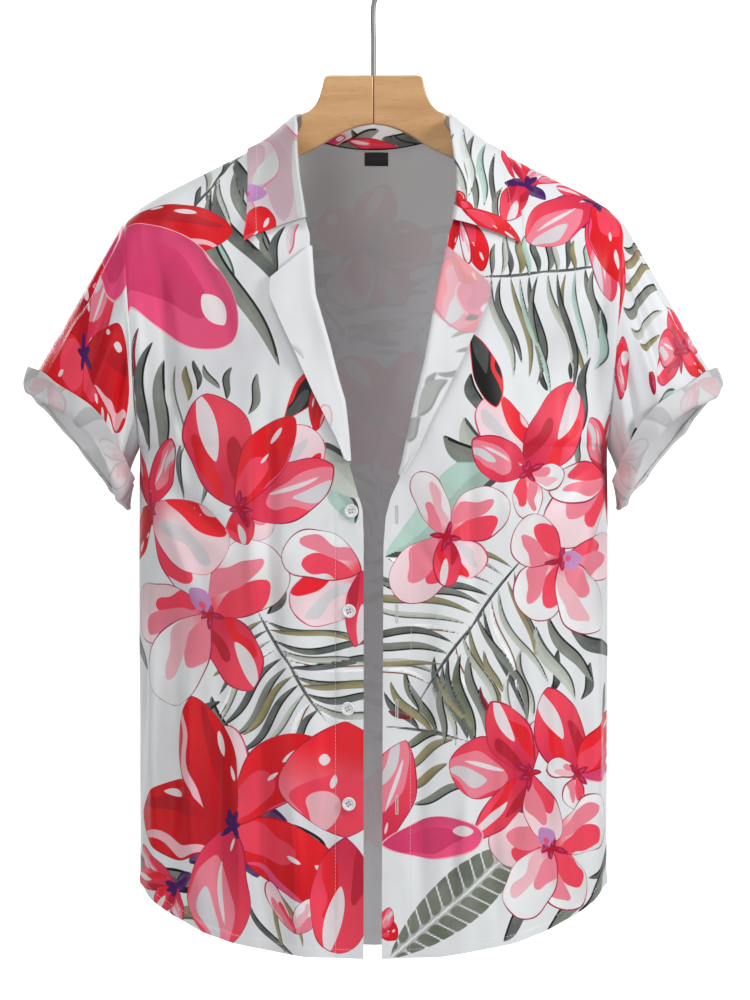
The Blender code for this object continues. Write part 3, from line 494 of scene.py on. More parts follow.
def catmull(rows, steps):
    """Catmull-Rom interpolation along the first axis, with a number of steps between neighbouring rows."""
    rows = np.asarray(rows, float)
    padded = np.concatenate([2 * rows[:1] - rows[1:2], rows, 2 * rows[-1:] - rows[-2:-1]])
    shape = (1, steps) + (1,) * (rows.ndim - 1)
    t = (np.arange(steps) / steps).reshape(shape)
    p0, p1, p2, p3 = (padded[k : len(rows) - 1 + k, None] for k in range(4))
    made = 0.5 * (2 * p1 + (p2 - p0) * t + (2 * p0 - 5 * p1 + 4 * p2 - p3) * t**2
                  + (3 * p1 - p0 - 3 * p2 + p3) * t**3)
    return np.concatenate([made.reshape(-1, *rows.shape[1:]), rows[-1:]])


def refined(grid, row_steps, column_steps):
    """A grid of points made finer in both directions by Catmull-Rom interpolation."""
    finer = catmull(grid, row_steps)
    return catmull(finer.swapaxes(0, 1), column_steps).swapaxes(0, 1)


def normals_of(points, closed, inside):
    """Unit normals of a grid: the cross product of its two directions, turned away from the inside."""
    rows = np.gradient(points, axis=0)
    if closed:
        columns = (np.roll(points, -1, axis=1) - np.roll(points, 1, axis=1)) / 2
    else:
        columns = np.gradient(points, axis=1)
    normals = unit(np.cross(rows, columns))
    return normals if np.sum(normals * (points - inside)) > 0 else -normals


# ---- the body's form ----


def fold_offset(out, z, folds):
    """Depth of the large folds: a bell-shaped trough along a slanting line that fades in from its top."""
    total = np.zeros(np.broadcast(out, z).shape)
    for top_out, top_down, bottom_out, bottom_down, half_width, depth in folds:
        top, bottom = height(top_down), height(bottom_down)
        share = np.clip((top - z) / (top - bottom), 0.0, 1.0)
        line = (top_out + (bottom_out - top_out) * share) * MM
        ease = share**1.5 * (1.0 - 0.35 * share)
        total += depth * MM * ease * bell(out - line, half_width * MM)
    return total


def form(across, up, back):
    """Outer points of the body, at share "across" from the centre (0) to the side or armhole (1, signed),
    and "up" from the hem (-1) by the underarm (0) to the shoulder (1). Below the underarm the section is
    an oval. Above it the ends follow the armhole's oval, and the front and back close on the shoulder."""
    across, up = np.broadcast_arrays(np.asarray(across, float), np.asarray(up, float))
    side = np.abs(across)
    rise = np.clip(up, 0.0, 1.0)
    fall = np.clip(-up, 0.0, 1.0)
    quarter = rise * math.pi / 2
    arm_share = np.sin(quarter) ** 2
    half = HALF_WIDTH + (ARM_HALF_WIDTH - HALF_WIDTH) * arm_share
    out = side * half
    underarm = height(UNDERARM_DOWN)
    hem = height(along(HEM_LINE, 1, out / MM))
    neck_share = NECK_OUT * MM / ARM_HALF_WIDTH
    in_neck = np.sqrt(np.clip(1.0 - (side / neck_share) ** 2, 0.0, 1.0))
    top = height(along(SHOULDER_LINE, 1, side * ARM_HALF_WIDTH / MM))
    top = top - (BACK_NECK_DROP if back else 0) * in_neck**2
    climb = (1.0 - side**2) * np.sin(quarter) + side**2 * arm_share
    z = underarm + (hem - underarm) * fall + (top - underarm) * climb
    depth = BACK_DEPTH if back else FRONT_DEPTH
    neck_depth = BACK_NECK_DEPTH if back else 0.0
    centre = neck_depth + (depth - neck_depth) * np.cos(quarter)
    centre = centre * (1.0 - (1.0 - HEM_TAPER) * fall**2)
    armhole = ARMHOLE_HALF_DEPTH * np.sin(2 * quarter)
    oval = np.clip(1.0 - side**ROUNDNESS, 0.0, 1.0) ** (1 / ROUNDNESS)
    profile = oval + (1.0 - side**2 - oval) * smoothstep(0.0, 0.4, rise)
    neck_pull = rise**4
    y = neck_pull * neck_depth * in_neck + armhole + (centre - neck_pull * neck_depth - armhole) * profile
    return np.stack([np.sign(across) * out, y if back else -y, z], axis=-1)


def folded(points, folds, back):
    """Moves points of the body in or out by its large folds, which fade towards the side seams."""
    out = points[..., 0]
    fade = np.clip((HALF_WIDTH - np.abs(out)) / 0.012, 0.0, 1.0)
    offset = fold_offset(np.abs(out) if not back else out, points[..., 2], folds) * fade
    moved = points.copy()
    moved[..., 1] += -offset if back else offset
    return moved


def even_shares():
    """Shares across the oval, and the share of its curve's length that each lies at."""
    share = 1.0 - np.linspace(1.0, 0.0, 4001) ** 2
    x = share * HALF_WIDTH
    y = FRONT_DEPTH * (1.0 - share**ROUNDNESS) ** (1 / ROUNDNESS)
    run = np.concatenate([[0.0], np.cumsum(np.hypot(np.diff(x), np.diff(y)))])
    run /= run[-1]
    return share, run


def up_values(lower, upper):
    """Rows from the hem to the underarm and on to the shoulder, closer together towards its ridge."""
    low = np.linspace(-1.0, 0.0, lower + 1)
    high = 1.0 - np.linspace(1.0, 0.0, upper + 1) ** RIDGE_CROWDING
    return np.concatenate([low, high[1:]])


def edge_share(side, up):
    """Share across at which the front edge crosses each row, found by repeated substitution."""
    share = np.full(len(up), 0.2)
    for _ in range(40):
        points = form(share, up, False)
        half = form(np.ones(len(up)), up, False)[:, 0]
        share = 0.5 * share + 0.5 * along(FRONT_EDGE[side], 0, down_of(points[:, 2]), key=1) * MM / half
    return share


def front_grid(side, rows, columns):
    """Rows from the hem up, columns from the front edge to the side seam, even along the oval's curve."""
    up = up_values(*rows)
    share, run = even_shares()
    start = np.interp(edge_share(side, up), share, run)[:, None]
    spread = start + (1.0 - start) * np.linspace(0.0, 1.0, columns + 1)[None, :]
    points = folded(form(np.interp(spread, run, share), up[:, None], False), FRONT_FOLDS[side], False)
    points[..., 0] *= sign_of(side)
    return points


def back_grid(rows, columns):
    """Rows from the hem up, columns from the wearer's right side to the left."""
    share, run = even_shares()
    spread = np.linspace(-1.0, 1.0, columns + 1)
    across = np.sign(spread) * np.interp(np.abs(spread), run, share)
    return folded(form(across[None, :], up_values(*rows)[:, None], True), BACK_FOLDS, True)


def cloth_map(points, start, underarm_row):
    """Flat cloth coordinates in millimetres for each point of a grid. Across is summed along the row in
    plan, and down is summed along the column as seen from the side, from the underarm's level."""
    step = np.hypot(np.diff(points[..., 0], axis=1), np.diff(points[..., 1], axis=1))
    across = np.concatenate([np.zeros((len(points), 1)), np.cumsum(step, axis=1)], axis=1)
    climb = np.hypot(np.diff(points[..., 1], axis=0), np.diff(points[..., 2], axis=0))
    up = np.concatenate([np.zeros((1, points.shape[1])), np.cumsum(climb, axis=0)])
    down = UNDERARM_DOWN - (up - up[underarm_row]) / MM
    return start + across / MM, down, up / MM


def crease_height(out, down, table):
    """Creases in millimetres: a bell across a slightly bowed line that fades in and out along it."""
    total = np.zeros(out.shape)
    for out_a, down_a, out_b, down_b, bow, half_width, size in table:
        run = np.array([out_b - out_a, down_b - down_a], float)
        length = np.hypot(*run)
        run /= length
        share = ((out - out_a) * run[0] + (down - down_a) * run[1]) / length
        aside = (out - out_a) * -run[1] + (down - down_a) * run[0]
        inside = np.clip(share, 0.0, 1.0)
        aside = aside - bow * 4 * inside * (1 - inside)
        fade = np.sin(math.pi * np.clip(share * 0.86 + 0.07, 0.0, 1.0)) ** 1.6
        total += size * fade * bell(aside, half_width)
    return total


def ripple(across, down):
    """Faint unevenness of hanging cloth: a few crossing waves of unlike lengths, in millimetres."""
    hang = smoothstep(180.0, 620.0, down)
    uneven = 0.6 + 0.4 * np.sin(across / 31.0)
    return (0.60 * np.sin(across / 15.0 + 0.9 * np.sin(down / 97.0)) * np.sin(down / 143.0 + across / 60.0)
            + 0.95 * hang * np.sin(across / 9.5 + 0.9 * np.sin(down / 120.0) + 1.3) * uneven
            + 0.26 * np.sin(across / 8.7 + down / 47.0) * np.sin(down / 29.0 + across / 71.0)
            + 0.12 * np.sin(across / 4.6 - down / 19.0))


# ---- drawing the print ----


def blank_print(count):
    """Arrays of the print's layers: three inks and, in the fourth column, the distance inside a motif."""
    names = [f"{layer}_{part}" for layer in LEAF_LAYERS for part in ("fill", "line")]
    names += [f"{layer}_{part}" for layer in PETAL_LAYERS for part in ("fill", "core", "mark", "rim")]
    return {name: np.tile([0.8, 0.8, 0.8, FAR], (count, 1)) for name in names}


def lens(t, s, length, first, last, half_width, shift, pointed=0.60, stem=0.80):
    """Distance inside a petal shape that runs from share first to share last of a motif's length. Its half
    width grows as a power of the way along and shrinks as a power of the way left."""
    way = (t - first) / max(last - first, 1e-6)
    inner = np.clip(way, 1e-4, 1.0 - 1e-4)
    peak_at = stem / (stem + pointed)
    peak = peak_at**stem * (1 - peak_at) ** pointed
    half = half_width * inner**stem * (1 - inner) ** pointed / peak
    slope = half * (stem / inner - pointed / (1 - inner)) / (length * max(last - first, 1e-6))
    beyond = np.maximum(np.maximum(-way, way - 1.0), 0.0) * length * (last - first)
    return (half - np.abs(s - shift)) / np.sqrt(1 + slope**2) - beyond


def local_frame(flat, base, tip, margin):
    """Points of the cloth near a motif, with their share along it and distance beside it."""
    run = tip - base
    length = max(np.hypot(*run), 1.0)
    run = run / length
    near = np.flatnonzero(np.all(np.abs(flat - (base + tip) / 2) < length / 2 + margin, axis=1))
    apart = flat[near] - base
    return near, apart @ run / length, apart @ np.array([-run[1], run[0]]), length


def draw_leaf(parts, layer, flat, base, tip, width, bend, style):
    """One leaf: a lens along a bowed and slightly waving line, with a thin line on one edge."""
    near, t, s, length = local_frame(flat, base, tip, width + abs(bend) * 200 + 5)
    if not len(near):
        return
    inside = np.clip(t, 0.0, 1.0)
    wave = 0.045 * min(width / 7.0, 1.0) * length * min(width / 4.0 - 0.6, 1.0)
    s = s - bend * length * np.sin(math.pi * inside) - max(wave, 0.0) * np.sin(2 * math.pi * inside)
    edge = lens(t, s, length, 0.0, 1.0, width / 2, 0.0, 0.8)
    if width < 3.0:
        edge = np.where((t > 0.02) & (t < 0.98), np.maximum(edge, 0.6 - np.abs(s)), edge)
    fill = parts[f"{layer}_fill"]
    line = parts[f"{layer}_line"]
    wins = edge > fill[near, 3]
    near, edge, s, inside = near[wins], edge[wins], s[wins], inside[wins]
    ink, line_ink = (INK[name] for name in LEAVES[style])
    fill[near, :3] = ink * (0.84 + 0.30 * inside[:, None]) * (1.0 + 0.25 * (s[:, None] > 0))
    fill[near, 3] = edge
    stroke = 0.30 + width * 0.055
    line[near, :3] = line_ink
    line[near, 3] = np.where(s < 0, 2 * stroke - edge, FAR)


def draw_petal(parts, layer, flat, base, tip, width, style, seed):
    """One petal: a lens with a wavy outline, wider on one side, with two inner patches, a pale gleam with a
    small one beside it, and a rim."""
    near, t, s, length = local_frame(flat, base, tip, width + 8)
    if not len(near):
        return
    base_ink, tip_ink, core_ink, core, mark_ink, mark, gleam, rim_ink = PETALS[style]
    chance = np.random.default_rng(int(seed * 10) + 5)
    turn = chance.choice([-1.0, 1.0])
    phase, lean, pointed = chance.uniform(0, 6.3), chance.uniform(-0.05, 0.05), chance.uniform(0.50, 0.82)
    pale = style in PALE_PETALS
    pointed *= 0.66 if pale else (1.5 if style == "night" else 1.0)
    s = s - lean * length * np.sin(math.pi * np.clip(t, 0.0, 1.0))
    wave = 1 + 0.06 * np.sin(6.3 * t + phase) + 0.03 * np.sin(13.1 * t + 2 * phase) + 0.14 * turn * np.sign(s)
    half = width * 0.57
    edge = lens(t, s / wave, length, 0.0, 1.0, half, 0.0, pointed, 0.74)
    fill = parts[f"{layer}_fill"]
    wins = edge > fill[near, 3]
    near, edge, t, s = near[wins], edge[wins], t[wins], s[wins]
    blend = smoothstep(0.02, 0.42 if pale else 0.80, t + 0.12 * s / half)[:, None]
    shade = 1.0 + 0.10 * turn * np.clip(s / half, -1.0, 1.0)[:, None]
    fill[near, :3] = (INK[base_ink] * (1 - blend) + INK[tip_ink] * blend) * shade
    fill[near, 3] = edge
    wobble = 1 + 0.20 * np.sin(8.0 * t + phase) + 0.08 * np.sin(17.0 * t + 3 * phase)
    bow = s + turn * 0.10 * half * np.sin(5.0 * t + phase)
    for name, ink, (first, last, wide, shift) in (("core", core_ink, core), ("mark", mark_ink, mark)):
        patch = parts[f"{layer}_{name}"]
        patch[near, :3] = INK[ink]
        patch[near, 3] = lens(t, bow / wobble, length, first, last, wide * half, turn * shift * half, 0.5, 0.6)
    rim = parts[f"{layer}_rim"]
    first, last, wide, shift = gleam
    rim[near, :3] = INK[rim_ink]
    rim[near, 3] = lens(t, bow, length, first, last, wide * half, turn * shift * half, 0.8, 0.8)
    if wide < 0.15:
        beside = turn * (shift - 0.2) * half
        small = lens(t, bow, length, first - 0.2, first - 0.08, wide * half * 0.6, beside, 0.8, 0.7)
        rim[near, 3] = np.maximum(rim[near, 3], small)


def place_finder(points, flat):
    """Returns a function that turns an out and down of the front view into flat cloth coordinates: those
    of the nearest point, plus what is missing."""
    view = front_view(points)

    def find(out, down):
        target = np.array([out, down], float)
        nearest = np.argmin(np.sum((view - target) ** 2, axis=1))
        missing = target - view[nearest]
        here = flat[nearest]
        turned = np.sign(here[0] or 1.0) * np.sign(view[nearest][0] or 1.0)
        return here + missing * np.array([turned, 1.0])

    return find


def sleeve_finder(points, flat, facing):
    """The same for the points of a sleeve that face the viewer. Its flat cloth runs up over its ridge and
    down its length."""
    seen = np.flatnonzero(facing)
    view = np.abs(front_view(points[seen]))

    def find(out, down):
        target = np.array([abs(out), down], float)
        nearest = np.argmin(np.sum((view - target) ** 2, axis=1))
        missing = target - view[nearest]
        length = np.array([1.0, 0.0]) if missing[0] < 0 else np.array([0.50, 0.866])
        upward = np.array([length[1], -length[0]])
        return flat[seen[nearest]] + np.array([missing @ upward, missing @ length])

    return find


def as_given(out, down):
    """For tables that are already in flat coordinates."""
    return np.array([out, down], float)


def frond_leaves(row, seed):
    """Leaflets of a palm frond: even steps along its bowed midrib, leaning towards its end, longest near
    the middle, with seeded unevenness in angle, length and width."""
    start_out, start_down, end_out, end_down, bow, count, left, right, width, styles = row
    chance = np.random.default_rng(seed)
    start, end = np.array([start_out, start_down], float), np.array([end_out, end_down], float)
    run = end - start
    heading = math.atan2(run[1], run[0])
    aside = np.array([-run[1], run[0]]) / np.hypot(*run)
    for side, (angle, reach) in ((-1, left), (1, right)):
        for index in range(count):
            share = (index + 0.6) / (count + 0.2)
            base = start + run * share + aside * bow * 4 * share * (1 - share)
            lean = heading + side * math.radians(angle + chance.uniform(-7, 7))
            fullness = 0.62 + 0.5 * math.sin(math.pi * min(share * 0.9 + 0.12, 1.0))
            length = reach * fullness * chance.uniform(0.85, 1.1)
            tip = base + length * np.array([math.cos(lean), math.sin(lean)])
            bend = side * chance.uniform(-0.07, 0.10)
            style = styles[(index + (side > 0)) % len(styles)]
            yield base, tip, width * chance.uniform(0.75, 1.2), bend, style
    yield start - run * 0.08, start + run * 0.62, 2.6, bow / np.hypot(*run), "slate"
    yield start + run * 0.38, end + run * 0.08, 2.6, bow / np.hypot(*run), "slate"


def clear_layer(parts, layers, first, flat, base, tip, width):
    """The layer, counted on from a given one, in which a motif would cover the least of the others."""
    near, t, s, length = local_frame(flat, base, tip, width + 5)
    inside = near[lens(t, s, length, 0.0, 1.0, width * 0.57, 0.0) > 0.5]
    order = [layers[(first + step) % len(layers)] for step in range(len(layers))]
    return min(order, key=lambda layer: np.sum(parts[f"{layer}_fill"][inside, 3] > 0))


def draw_print(flat, find, flowers, leaves, fronds=(), ribbed=(), parts=None):
    """Draws every leaf, then every petal, each in a layer where it keeps its own edge, on a blank print or
    on one that is given."""
    parts = parts or blank_print(len(flat))
    rows = [leaf for number, row in enumerate(fronds) for leaf in frond_leaves(row, 11 + number)]
    rows += [(row[:2], row[2:4], *row[4:]) for row in leaves]
    for count, (base, tip, width, bend, style) in enumerate(rows):
        base, tip = find(*base), find(*tip)
        layer = clear_layer(parts, LEAF_LAYERS[:2], count, flat, base, tip, width)
        draw_leaf(parts, layer, flat, base, tip, width, bend, style)
    for start_out, start_down, end_out, end_down, width, slits in ribbed:
        draw_ribbed(parts, flat, find(start_out, start_down), find(end_out, end_down), width, slits)
    for number, (out, down, centre, petals) in enumerate(flowers):
        base = find(out, down)
        for index, (tip_out, tip_down, width, style) in enumerate(petals):
            tip = find(tip_out, tip_down)
            layer = clear_layer(parts, PETAL_LAYERS[:3], index + number, flat, base, tip, width)
            if style == "lilac":
                layer = PETAL_LAYERS[-1]
            draw_petal(parts, layer, flat, base, tip, width, style, number * 3.1 + index * 1.3)
        if centre:
            draw_centre(parts, flat, base, [find(*petal[:2]) for petal in petals], centre, number)
    return parts


def draw_centre(parts, flat, base, tips, style, number):
    """The flower's heart: short slivers between its petals, and for a star a dark web behind them."""
    angles = sorted(math.atan2(tip[1] - base[1], tip[0] - base[0]) for tip in tips)
    for index, angle in enumerate(angles):
        following = angles[(index + 1) % len(angles)] + (2 * math.pi if index + 1 == len(angles) else 0)
        middle = (angle + following) / 2
        heading = np.array([math.cos(middle), math.sin(middle)])
        reach = 15 * (0.8 + 0.25 * math.sin(number + index * 2.0))
        if style == "star":
            size = np.median([np.hypot(*(tip - base)) for tip in tips])
            draw_leaf(parts, LEAF_LAYERS[-1], flat, base - 0.1 * size * heading, base + 0.48 * size * heading,
                      0.27 * size, 0.0, "web")
        draw_petal(parts, PETAL_LAYERS[-1], flat, base - 3.0 * heading, base + reach * heading, 4.6, style,
                   number + index)


def draw_ribbed(parts, flat, base, tip, width, slits):
    """A broad leaf cut by pale slits on both sides of its midrib."""
    near, t, s, length = local_frame(flat, base, tip, width + 6)
    edge = lens(t, s, length, 0.0, 1.0, width / 2, 0.0, 0.45)
    slant = t * slits - np.abs(s) / width * 1.6
    slit = 0.9 - np.abs(((slant + 0.5) % 1.0) - 0.5) * length / slits
    cut = np.maximum(slit * smoothstep(0.03, 0.25, np.abs(s) / width), 0.7 - np.abs(s))
    edge = np.minimum(edge, -cut)
    fill = parts["leaf_b_fill"]
    wins = edge > fill[near, 3]
    fill[near[wins], :3] = INK["moss"] * 0.5 + INK["grey"] * 0.5
    fill[near[wins], 3] = edge[wins]
    parts["leaf_b_line"][near[wins], 3] = FAR


# ---- meshes ----


def quads(index, wraps):
    """Four-sided faces between the neighbouring rows and columns of a grid of vertex numbers."""
    wide = index.shape[1] if wraps else index.shape[1] - 1
    left, right = index[:, :wide], np.roll(index, -1, axis=1)[:, :wide]
    return np.stack([left[:-1], right[:-1], right[1:], left[1:]], axis=-1).reshape(-1, 4)


def tube_faces(rings, count):
    """Faces of a tube of rings with so many points each, and a cap at both its ends."""
    index = np.arange(rings * count).reshape(rings, count)
    return quads(index, True).tolist() + [index[0][::-1].tolist(), index[-1].tolist()]


def shell_faces(rows, columns, closed, step):
    """Faces of a wall with a fine outer and a coarser inner grid, joined by a rim of many-sided faces."""
    index = np.arange(rows * columns).reshape(rows, columns)
    coarse_rows = np.arange(0, rows, step)
    coarse_columns = np.arange(0, columns, step)
    inner_index = np.arange(len(coarse_rows) * len(coarse_columns)).reshape(len(coarse_rows), -1)
    inner_index = inner_index + rows * columns
    inner = quads(inner_index, closed)[:, [0, 3, 2, 1]]

    def rim(line, inner_line, turned, wraps):
        spans = len(inner_line) if wraps else len(inner_line) - 1
        places = np.arange(spans)[:, None] * step + np.arange(step + 1)
        fine = line[places % len(line) if wraps else places]
        ends = np.stack([np.roll(inner_line, -1)[:spans], inner_line[:spans]], axis=1)
        face = np.concatenate([fine, ends], axis=1)
        return face if turned else face[:, ::-1]

    rims = [rim(index[0], inner_index[0], False, closed), rim(index[-1], inner_index[-1], True, closed)]
    if not closed:
        rims.append(rim(index[:, 0], inner_index[:, 0], True, False))
        rims.append(rim(index[:, -1], inner_index[:, -1], False, False))
    return quads(index, closed), inner, np.concatenate(rims), coarse_rows, coarse_columns


def cloth_shell(name, outer, normals, thickness, closed=False, step=2, flat=None, parts=None):
    """A closed shell: the outer grid, an inner grid one thickness inside it and a rim. Slot 0 is the outer
    face and slot 1 the inner one. flat gives the UV map, and parts the print's attributes."""
    rows, columns = outer.shape[:2]
    faces, inner_faces, rims, some_rows, some_columns = shell_faces(rows, columns, closed, step)
    inner = (outer - normals * thickness)[np.ix_(some_rows, some_columns)]
    points = np.concatenate([outer.reshape(-1, 3), inner.reshape(-1, 3)])
    first = faces[len(faces) // 2]
    facing = np.cross(points[first[1]] - points[first[0]], points[first[2]] - points[first[1]])
    every = [faces, inner_faces, rims]
    if facing @ normals.reshape(-1, 3)[first[0]] < 0:
        every = [part[:, ::-1] for part in every]
    mesh = bpy.data.meshes.new(name)
    mesh.from_pydata(points, [], [face.tolist() for part in every for face in part])
    slots = np.repeat([0, 1, 0], [len(part) for part in every]).astype(np.int32)
    mesh.polygons.foreach_set("material_index", slots)
    behind = some_rows[:, None] * columns + some_columns[None, :]
    both = np.concatenate([np.arange(rows * columns), behind.ravel()])
    if flat is not None:
        corner = np.zeros(len(mesh.loops), dtype=np.int32)
        mesh.loops.foreach_get("vertex_index", corner)
        layer = mesh.uv_layers.new(name="cloth")
        layer.uv.foreach_set("vector", (flat[both][corner] * MM).astype(np.float32).ravel())
    for part_name, array in (parts or {}).items():
        attribute = mesh.attributes.new(part_name, "FLOAT_COLOR", "POINT")
        attribute.data.foreach_set("color", array[both].astype(np.float32).ravel())
    mesh.shade_smooth()
    mesh.set_sharp_from_angle(angle=math.radians(50))
    return add_piece(mesh)


def add_piece(mesh):
    """Links a mesh to the scene as an object of the same name."""
    made = bpy.data.objects.new(mesh.name, mesh)
    bpy.context.scene.collection.objects.link(made)
    return made


def hand_over(made, slot, material, *nodes):
    """Gives a hard piece its material, and tells the frame what it rides and replaces. The slot, what it is
    made of, is not used.
    """
    made.data.materials.append(material)
    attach(made, "root")
    if nodes:
        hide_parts(*nodes)


def plain_mesh(name, points, faces, smooth_angle=40):
    mesh = bpy.data.meshes.new(name)
    mesh.from_pydata(np.asarray(points), [], [list(face) for face in faces])
    shell = bmesh.new()
    shell.from_mesh(mesh)
    bmesh.ops.recalc_face_normals(shell, faces=shell.faces)
    shell.to_mesh(mesh)
    shell.free()
    mesh.shade_smooth()
    mesh.set_sharp_from_angle(angle=math.radians(smooth_angle))
    return mesh


def strands(name, stitches, radius):
    """Many short rounded stitches as one piece. Each is given by its start, its end and the lift of its
    middle, and is a six-sided rod that swells from nothing at its ends."""
    starts, ends, lifts = np.swapaxes(np.asarray(stitches), 0, 1)
    run = ends - starts
    share = np.array([0.0, 0.12, 0.5, 0.88, 1.0])
    size = np.array([0.25, 0.85, 1.0, 0.85, 0.25]) * radius
    turn = np.linspace(0, 2 * math.pi, 6, endpoint=False)
    aside = unit(np.cross(run, lifts))
    above = unit(np.cross(aside, run))
    centre = starts[:, None] + run[:, None] * share[None, :, None]
    centre = centre + lifts[:, None] * (4 * share * (1 - share))[None, :, None]
    ring = (aside[:, None, None] * np.cos(turn)[None, None, :, None]
            + above[:, None, None] * np.sin(turn)[None, None, :, None])
    points = centre[:, :, None] + ring * size[None, :, None, None]
    index = np.arange(30).reshape(5, 6)
    base = (np.arange(len(starts)) * 30)[:, None, None]
    faces = (quads(index, True)[None] + base).reshape(-1, 4).tolist()
    caps = np.stack([index[0][::-1], index[-1]])[None] + base
    faces += caps.reshape(-1, 6).tolist()
    return add_piece(plain_mesh(name, points.reshape(-1, 3), faces, 70))


def run_of_stitches(line, normals, length):
    """Starts, ends and lifts of stitches along a line of surface points."""
    run = run_along(line)
    begins = np.arange(STITCH_GAP / 2, run[-1] - length, length + STITCH_GAP)

    def at(values, where):
        return np.stack([np.interp(where, run, values[:, axis]) for axis in range(3)], axis=1)

    lifts = unit(at(normals, begins + length / 2))
    starts = at(line, begins) + unit(at(normals, begins)) * STITCH_RAISE * 0.2
    ends = at(line, begins + length) + unit(at(normals, begins + length)) * STITCH_RAISE * 0.2
    return np.stack([starts, ends, lifts * STITCH_RAISE], axis=1)


def tree_of(grids):
    """A search tree over the outer faces of several open grids."""
    points, faces = [], []
    for grid in grids:
        index = np.arange(grid.shape[0] * grid.shape[1]).reshape(grid.shape[:2]) + len(points)
        faces += quads(index, False).tolist()
        points += grid.reshape(-1, 3).tolist()
    return BVHTree.FromPolygons(points, faces)


# ---- materials ----


def start_material(name):
    made = bpy.data.materials.new(name)
    made.use_nodes = True
    return made, made.node_tree, made.node_tree.nodes["Principled BSDF"]


def feed(tree, socket, value):
    """Links a socket to another node's, or sets it to a number, a vector or a linear colour."""
    if isinstance(value, bpy.types.NodeSocket):
        tree.links.new(value, socket)
    elif socket.type == "RGBA":
        socket.default_value = (*(float(part) for part in value), 1.0)
    else:
        socket.default_value = value


def feed_inputs(tree, node, **inputs):
    """Feeds a node's inputs by name, with underscores for spaces."""
    for name, value in inputs.items():
        feed(tree, node.inputs[name.replace("_", " ")], value)


def add(tree, kind, settings=None, **inputs):
    """Adds a node, sets its properties and feeds its inputs."""
    made = tree.nodes.new(kind)
    for name, value in (settings or {}).items():
        setattr(made, name, value)
    feed_inputs(tree, made, **inputs)
    return made


def mix(tree, factor, first, second, blend="MIX"):
    """Mixes two colours, given as sockets or as linear colours."""
    made = add(tree, "ShaderNodeMix", {"data_type": "RGBA", "blend_type": blend})
    for number, value in ((0, factor), (6, first), (7, second)):
        feed(tree, made.inputs[number], value)
    return made.outputs[2]


def ramp(tree, value, low, high, start=0.0, end=1.0):
    """Carries a value from one range over to another, and holds it at its ends."""
    return add(tree, "ShaderNodeMapRange", {"clamp": True}, Value=value, From_Min=low, From_Max=high,
               To_Min=start, To_Max=end).outputs[0]


def maths(tree, operation, first, second):
    made = add(tree, "ShaderNodeMath", {"operation": operation})
    feed(tree, made.inputs[0], first)
    feed(tree, made.inputs[1], second)
    return made.outputs[0]


def object_place(tree):
    return add(tree, "ShaderNodeTexCoord").outputs["Object"]


def stretched(tree, place, scale, shift=(0.0, 0.0, 0.0)):
    """A place with each of its axes scaled and shifted."""
    return add(tree, "ShaderNodeMapping", Vector=place, Location=shift, Scale=scale).outputs[0]


def noise(tree, place, scale, detail, distortion=0.0):
    return add(tree, "ShaderNodeTexNoise", Vector=place, Scale=scale, Detail=detail,
               Distortion=distortion).outputs["Fac"]


def bands(tree, place, axis, scale, distortion):
    return add(tree, "ShaderNodeTexWave", {"wave_type": "BANDS", "bands_direction": axis}, Vector=place,
               Scale=scale, Distortion=distortion).outputs["Fac"]


def bump(tree, relief, distance, strength):
    return add(tree, "ShaderNodeBump", Height=relief, Distance=distance, Strength=strength).outputs[0]


def printed(tree, soft):
    """The print's colour: the ground, then each leaf and petal layer laid over it where its distance
    inside is above nought, with a blurred edge of the given softness in millimetres."""
    place = object_place(tree)
    wash, fine = noise(tree, place, 9.0, 3.0), noise(tree, place, 55.0, 4.0)
    colour = mix(tree, ramp(tree, wash, 0.5, 0.72), linear("#E9ECEE"), linear("#DFDFE4"))
    rim_width = ramp(tree, noise(tree, place, 24.0, 1.0), 0.40, 0.62, 0.15, 1.1)

    def layer_part(name):
        made = add(tree, "ShaderNodeAttribute", {"attribute_name": name})
        return made.outputs["Color"], made.outputs["Alpha"]

    def laid(under, distance, over, reach=1.0):
        return mix(tree, ramp(tree, distance, -soft, soft * reach), under, over)

    for layer in LEAF_LAYERS:
        body, edge = layer_part(f"{layer}_fill")
        line, stroke = layer_part(f"{layer}_line")
        body = mix(tree, ramp(tree, fine, 0.35, 0.75, 0.0, 0.35), body, linear("#A9ADA4"))
        colour = laid(colour, edge, laid(body, stroke, line))
    for layer in PETAL_LAYERS:
        body, edge = layer_part(f"{layer}_fill")
        core, patch = layer_part(f"{layer}_core")
        mark, second = layer_part(f"{layer}_mark")
        rim, gleam = layer_part(f"{layer}_rim")
        body = laid(laid(body, patch, core, 1.5), second, mark, 1.5)
        body = mix(tree, ramp(tree, wash, 0.40, 0.65, 0.0, 0.16), body, linear("#B0081A"), "MULTIPLY")
        body = laid(body, gleam, linear("#E9DDE2"))
        inner_edge = maths(tree, "SUBTRACT", edge, rim_width)
        body = mix(tree, ramp(tree, inner_edge, 0.0, 2 * soft, 1.0, 0.0), body, rim)
        colour = laid(colour, edge, body)
    return colour


def weave(tree):
    """Plain weave: two crossing sets of threads from the cloth's UV map, over faint unevenness."""
    uv = add(tree, "ShaderNodeUVMap", {"uv_map": "cloth"}).outputs[0]
    warp, weft = (bands(tree, uv, axis, 1.0 / (THREAD_WIDTH * 20) * math.pi, 0.4) for axis in ("X", "Y"))
    slub = noise(tree, object_place(tree), 420.0, 3.0)
    relief = maths(tree, "ADD", maths(tree, "MULTIPLY", warp, weft), maths(tree, "MULTIPLY", slub, 0.8))
    return bump(tree, relief, THREAD_DEPTH, 0.35)


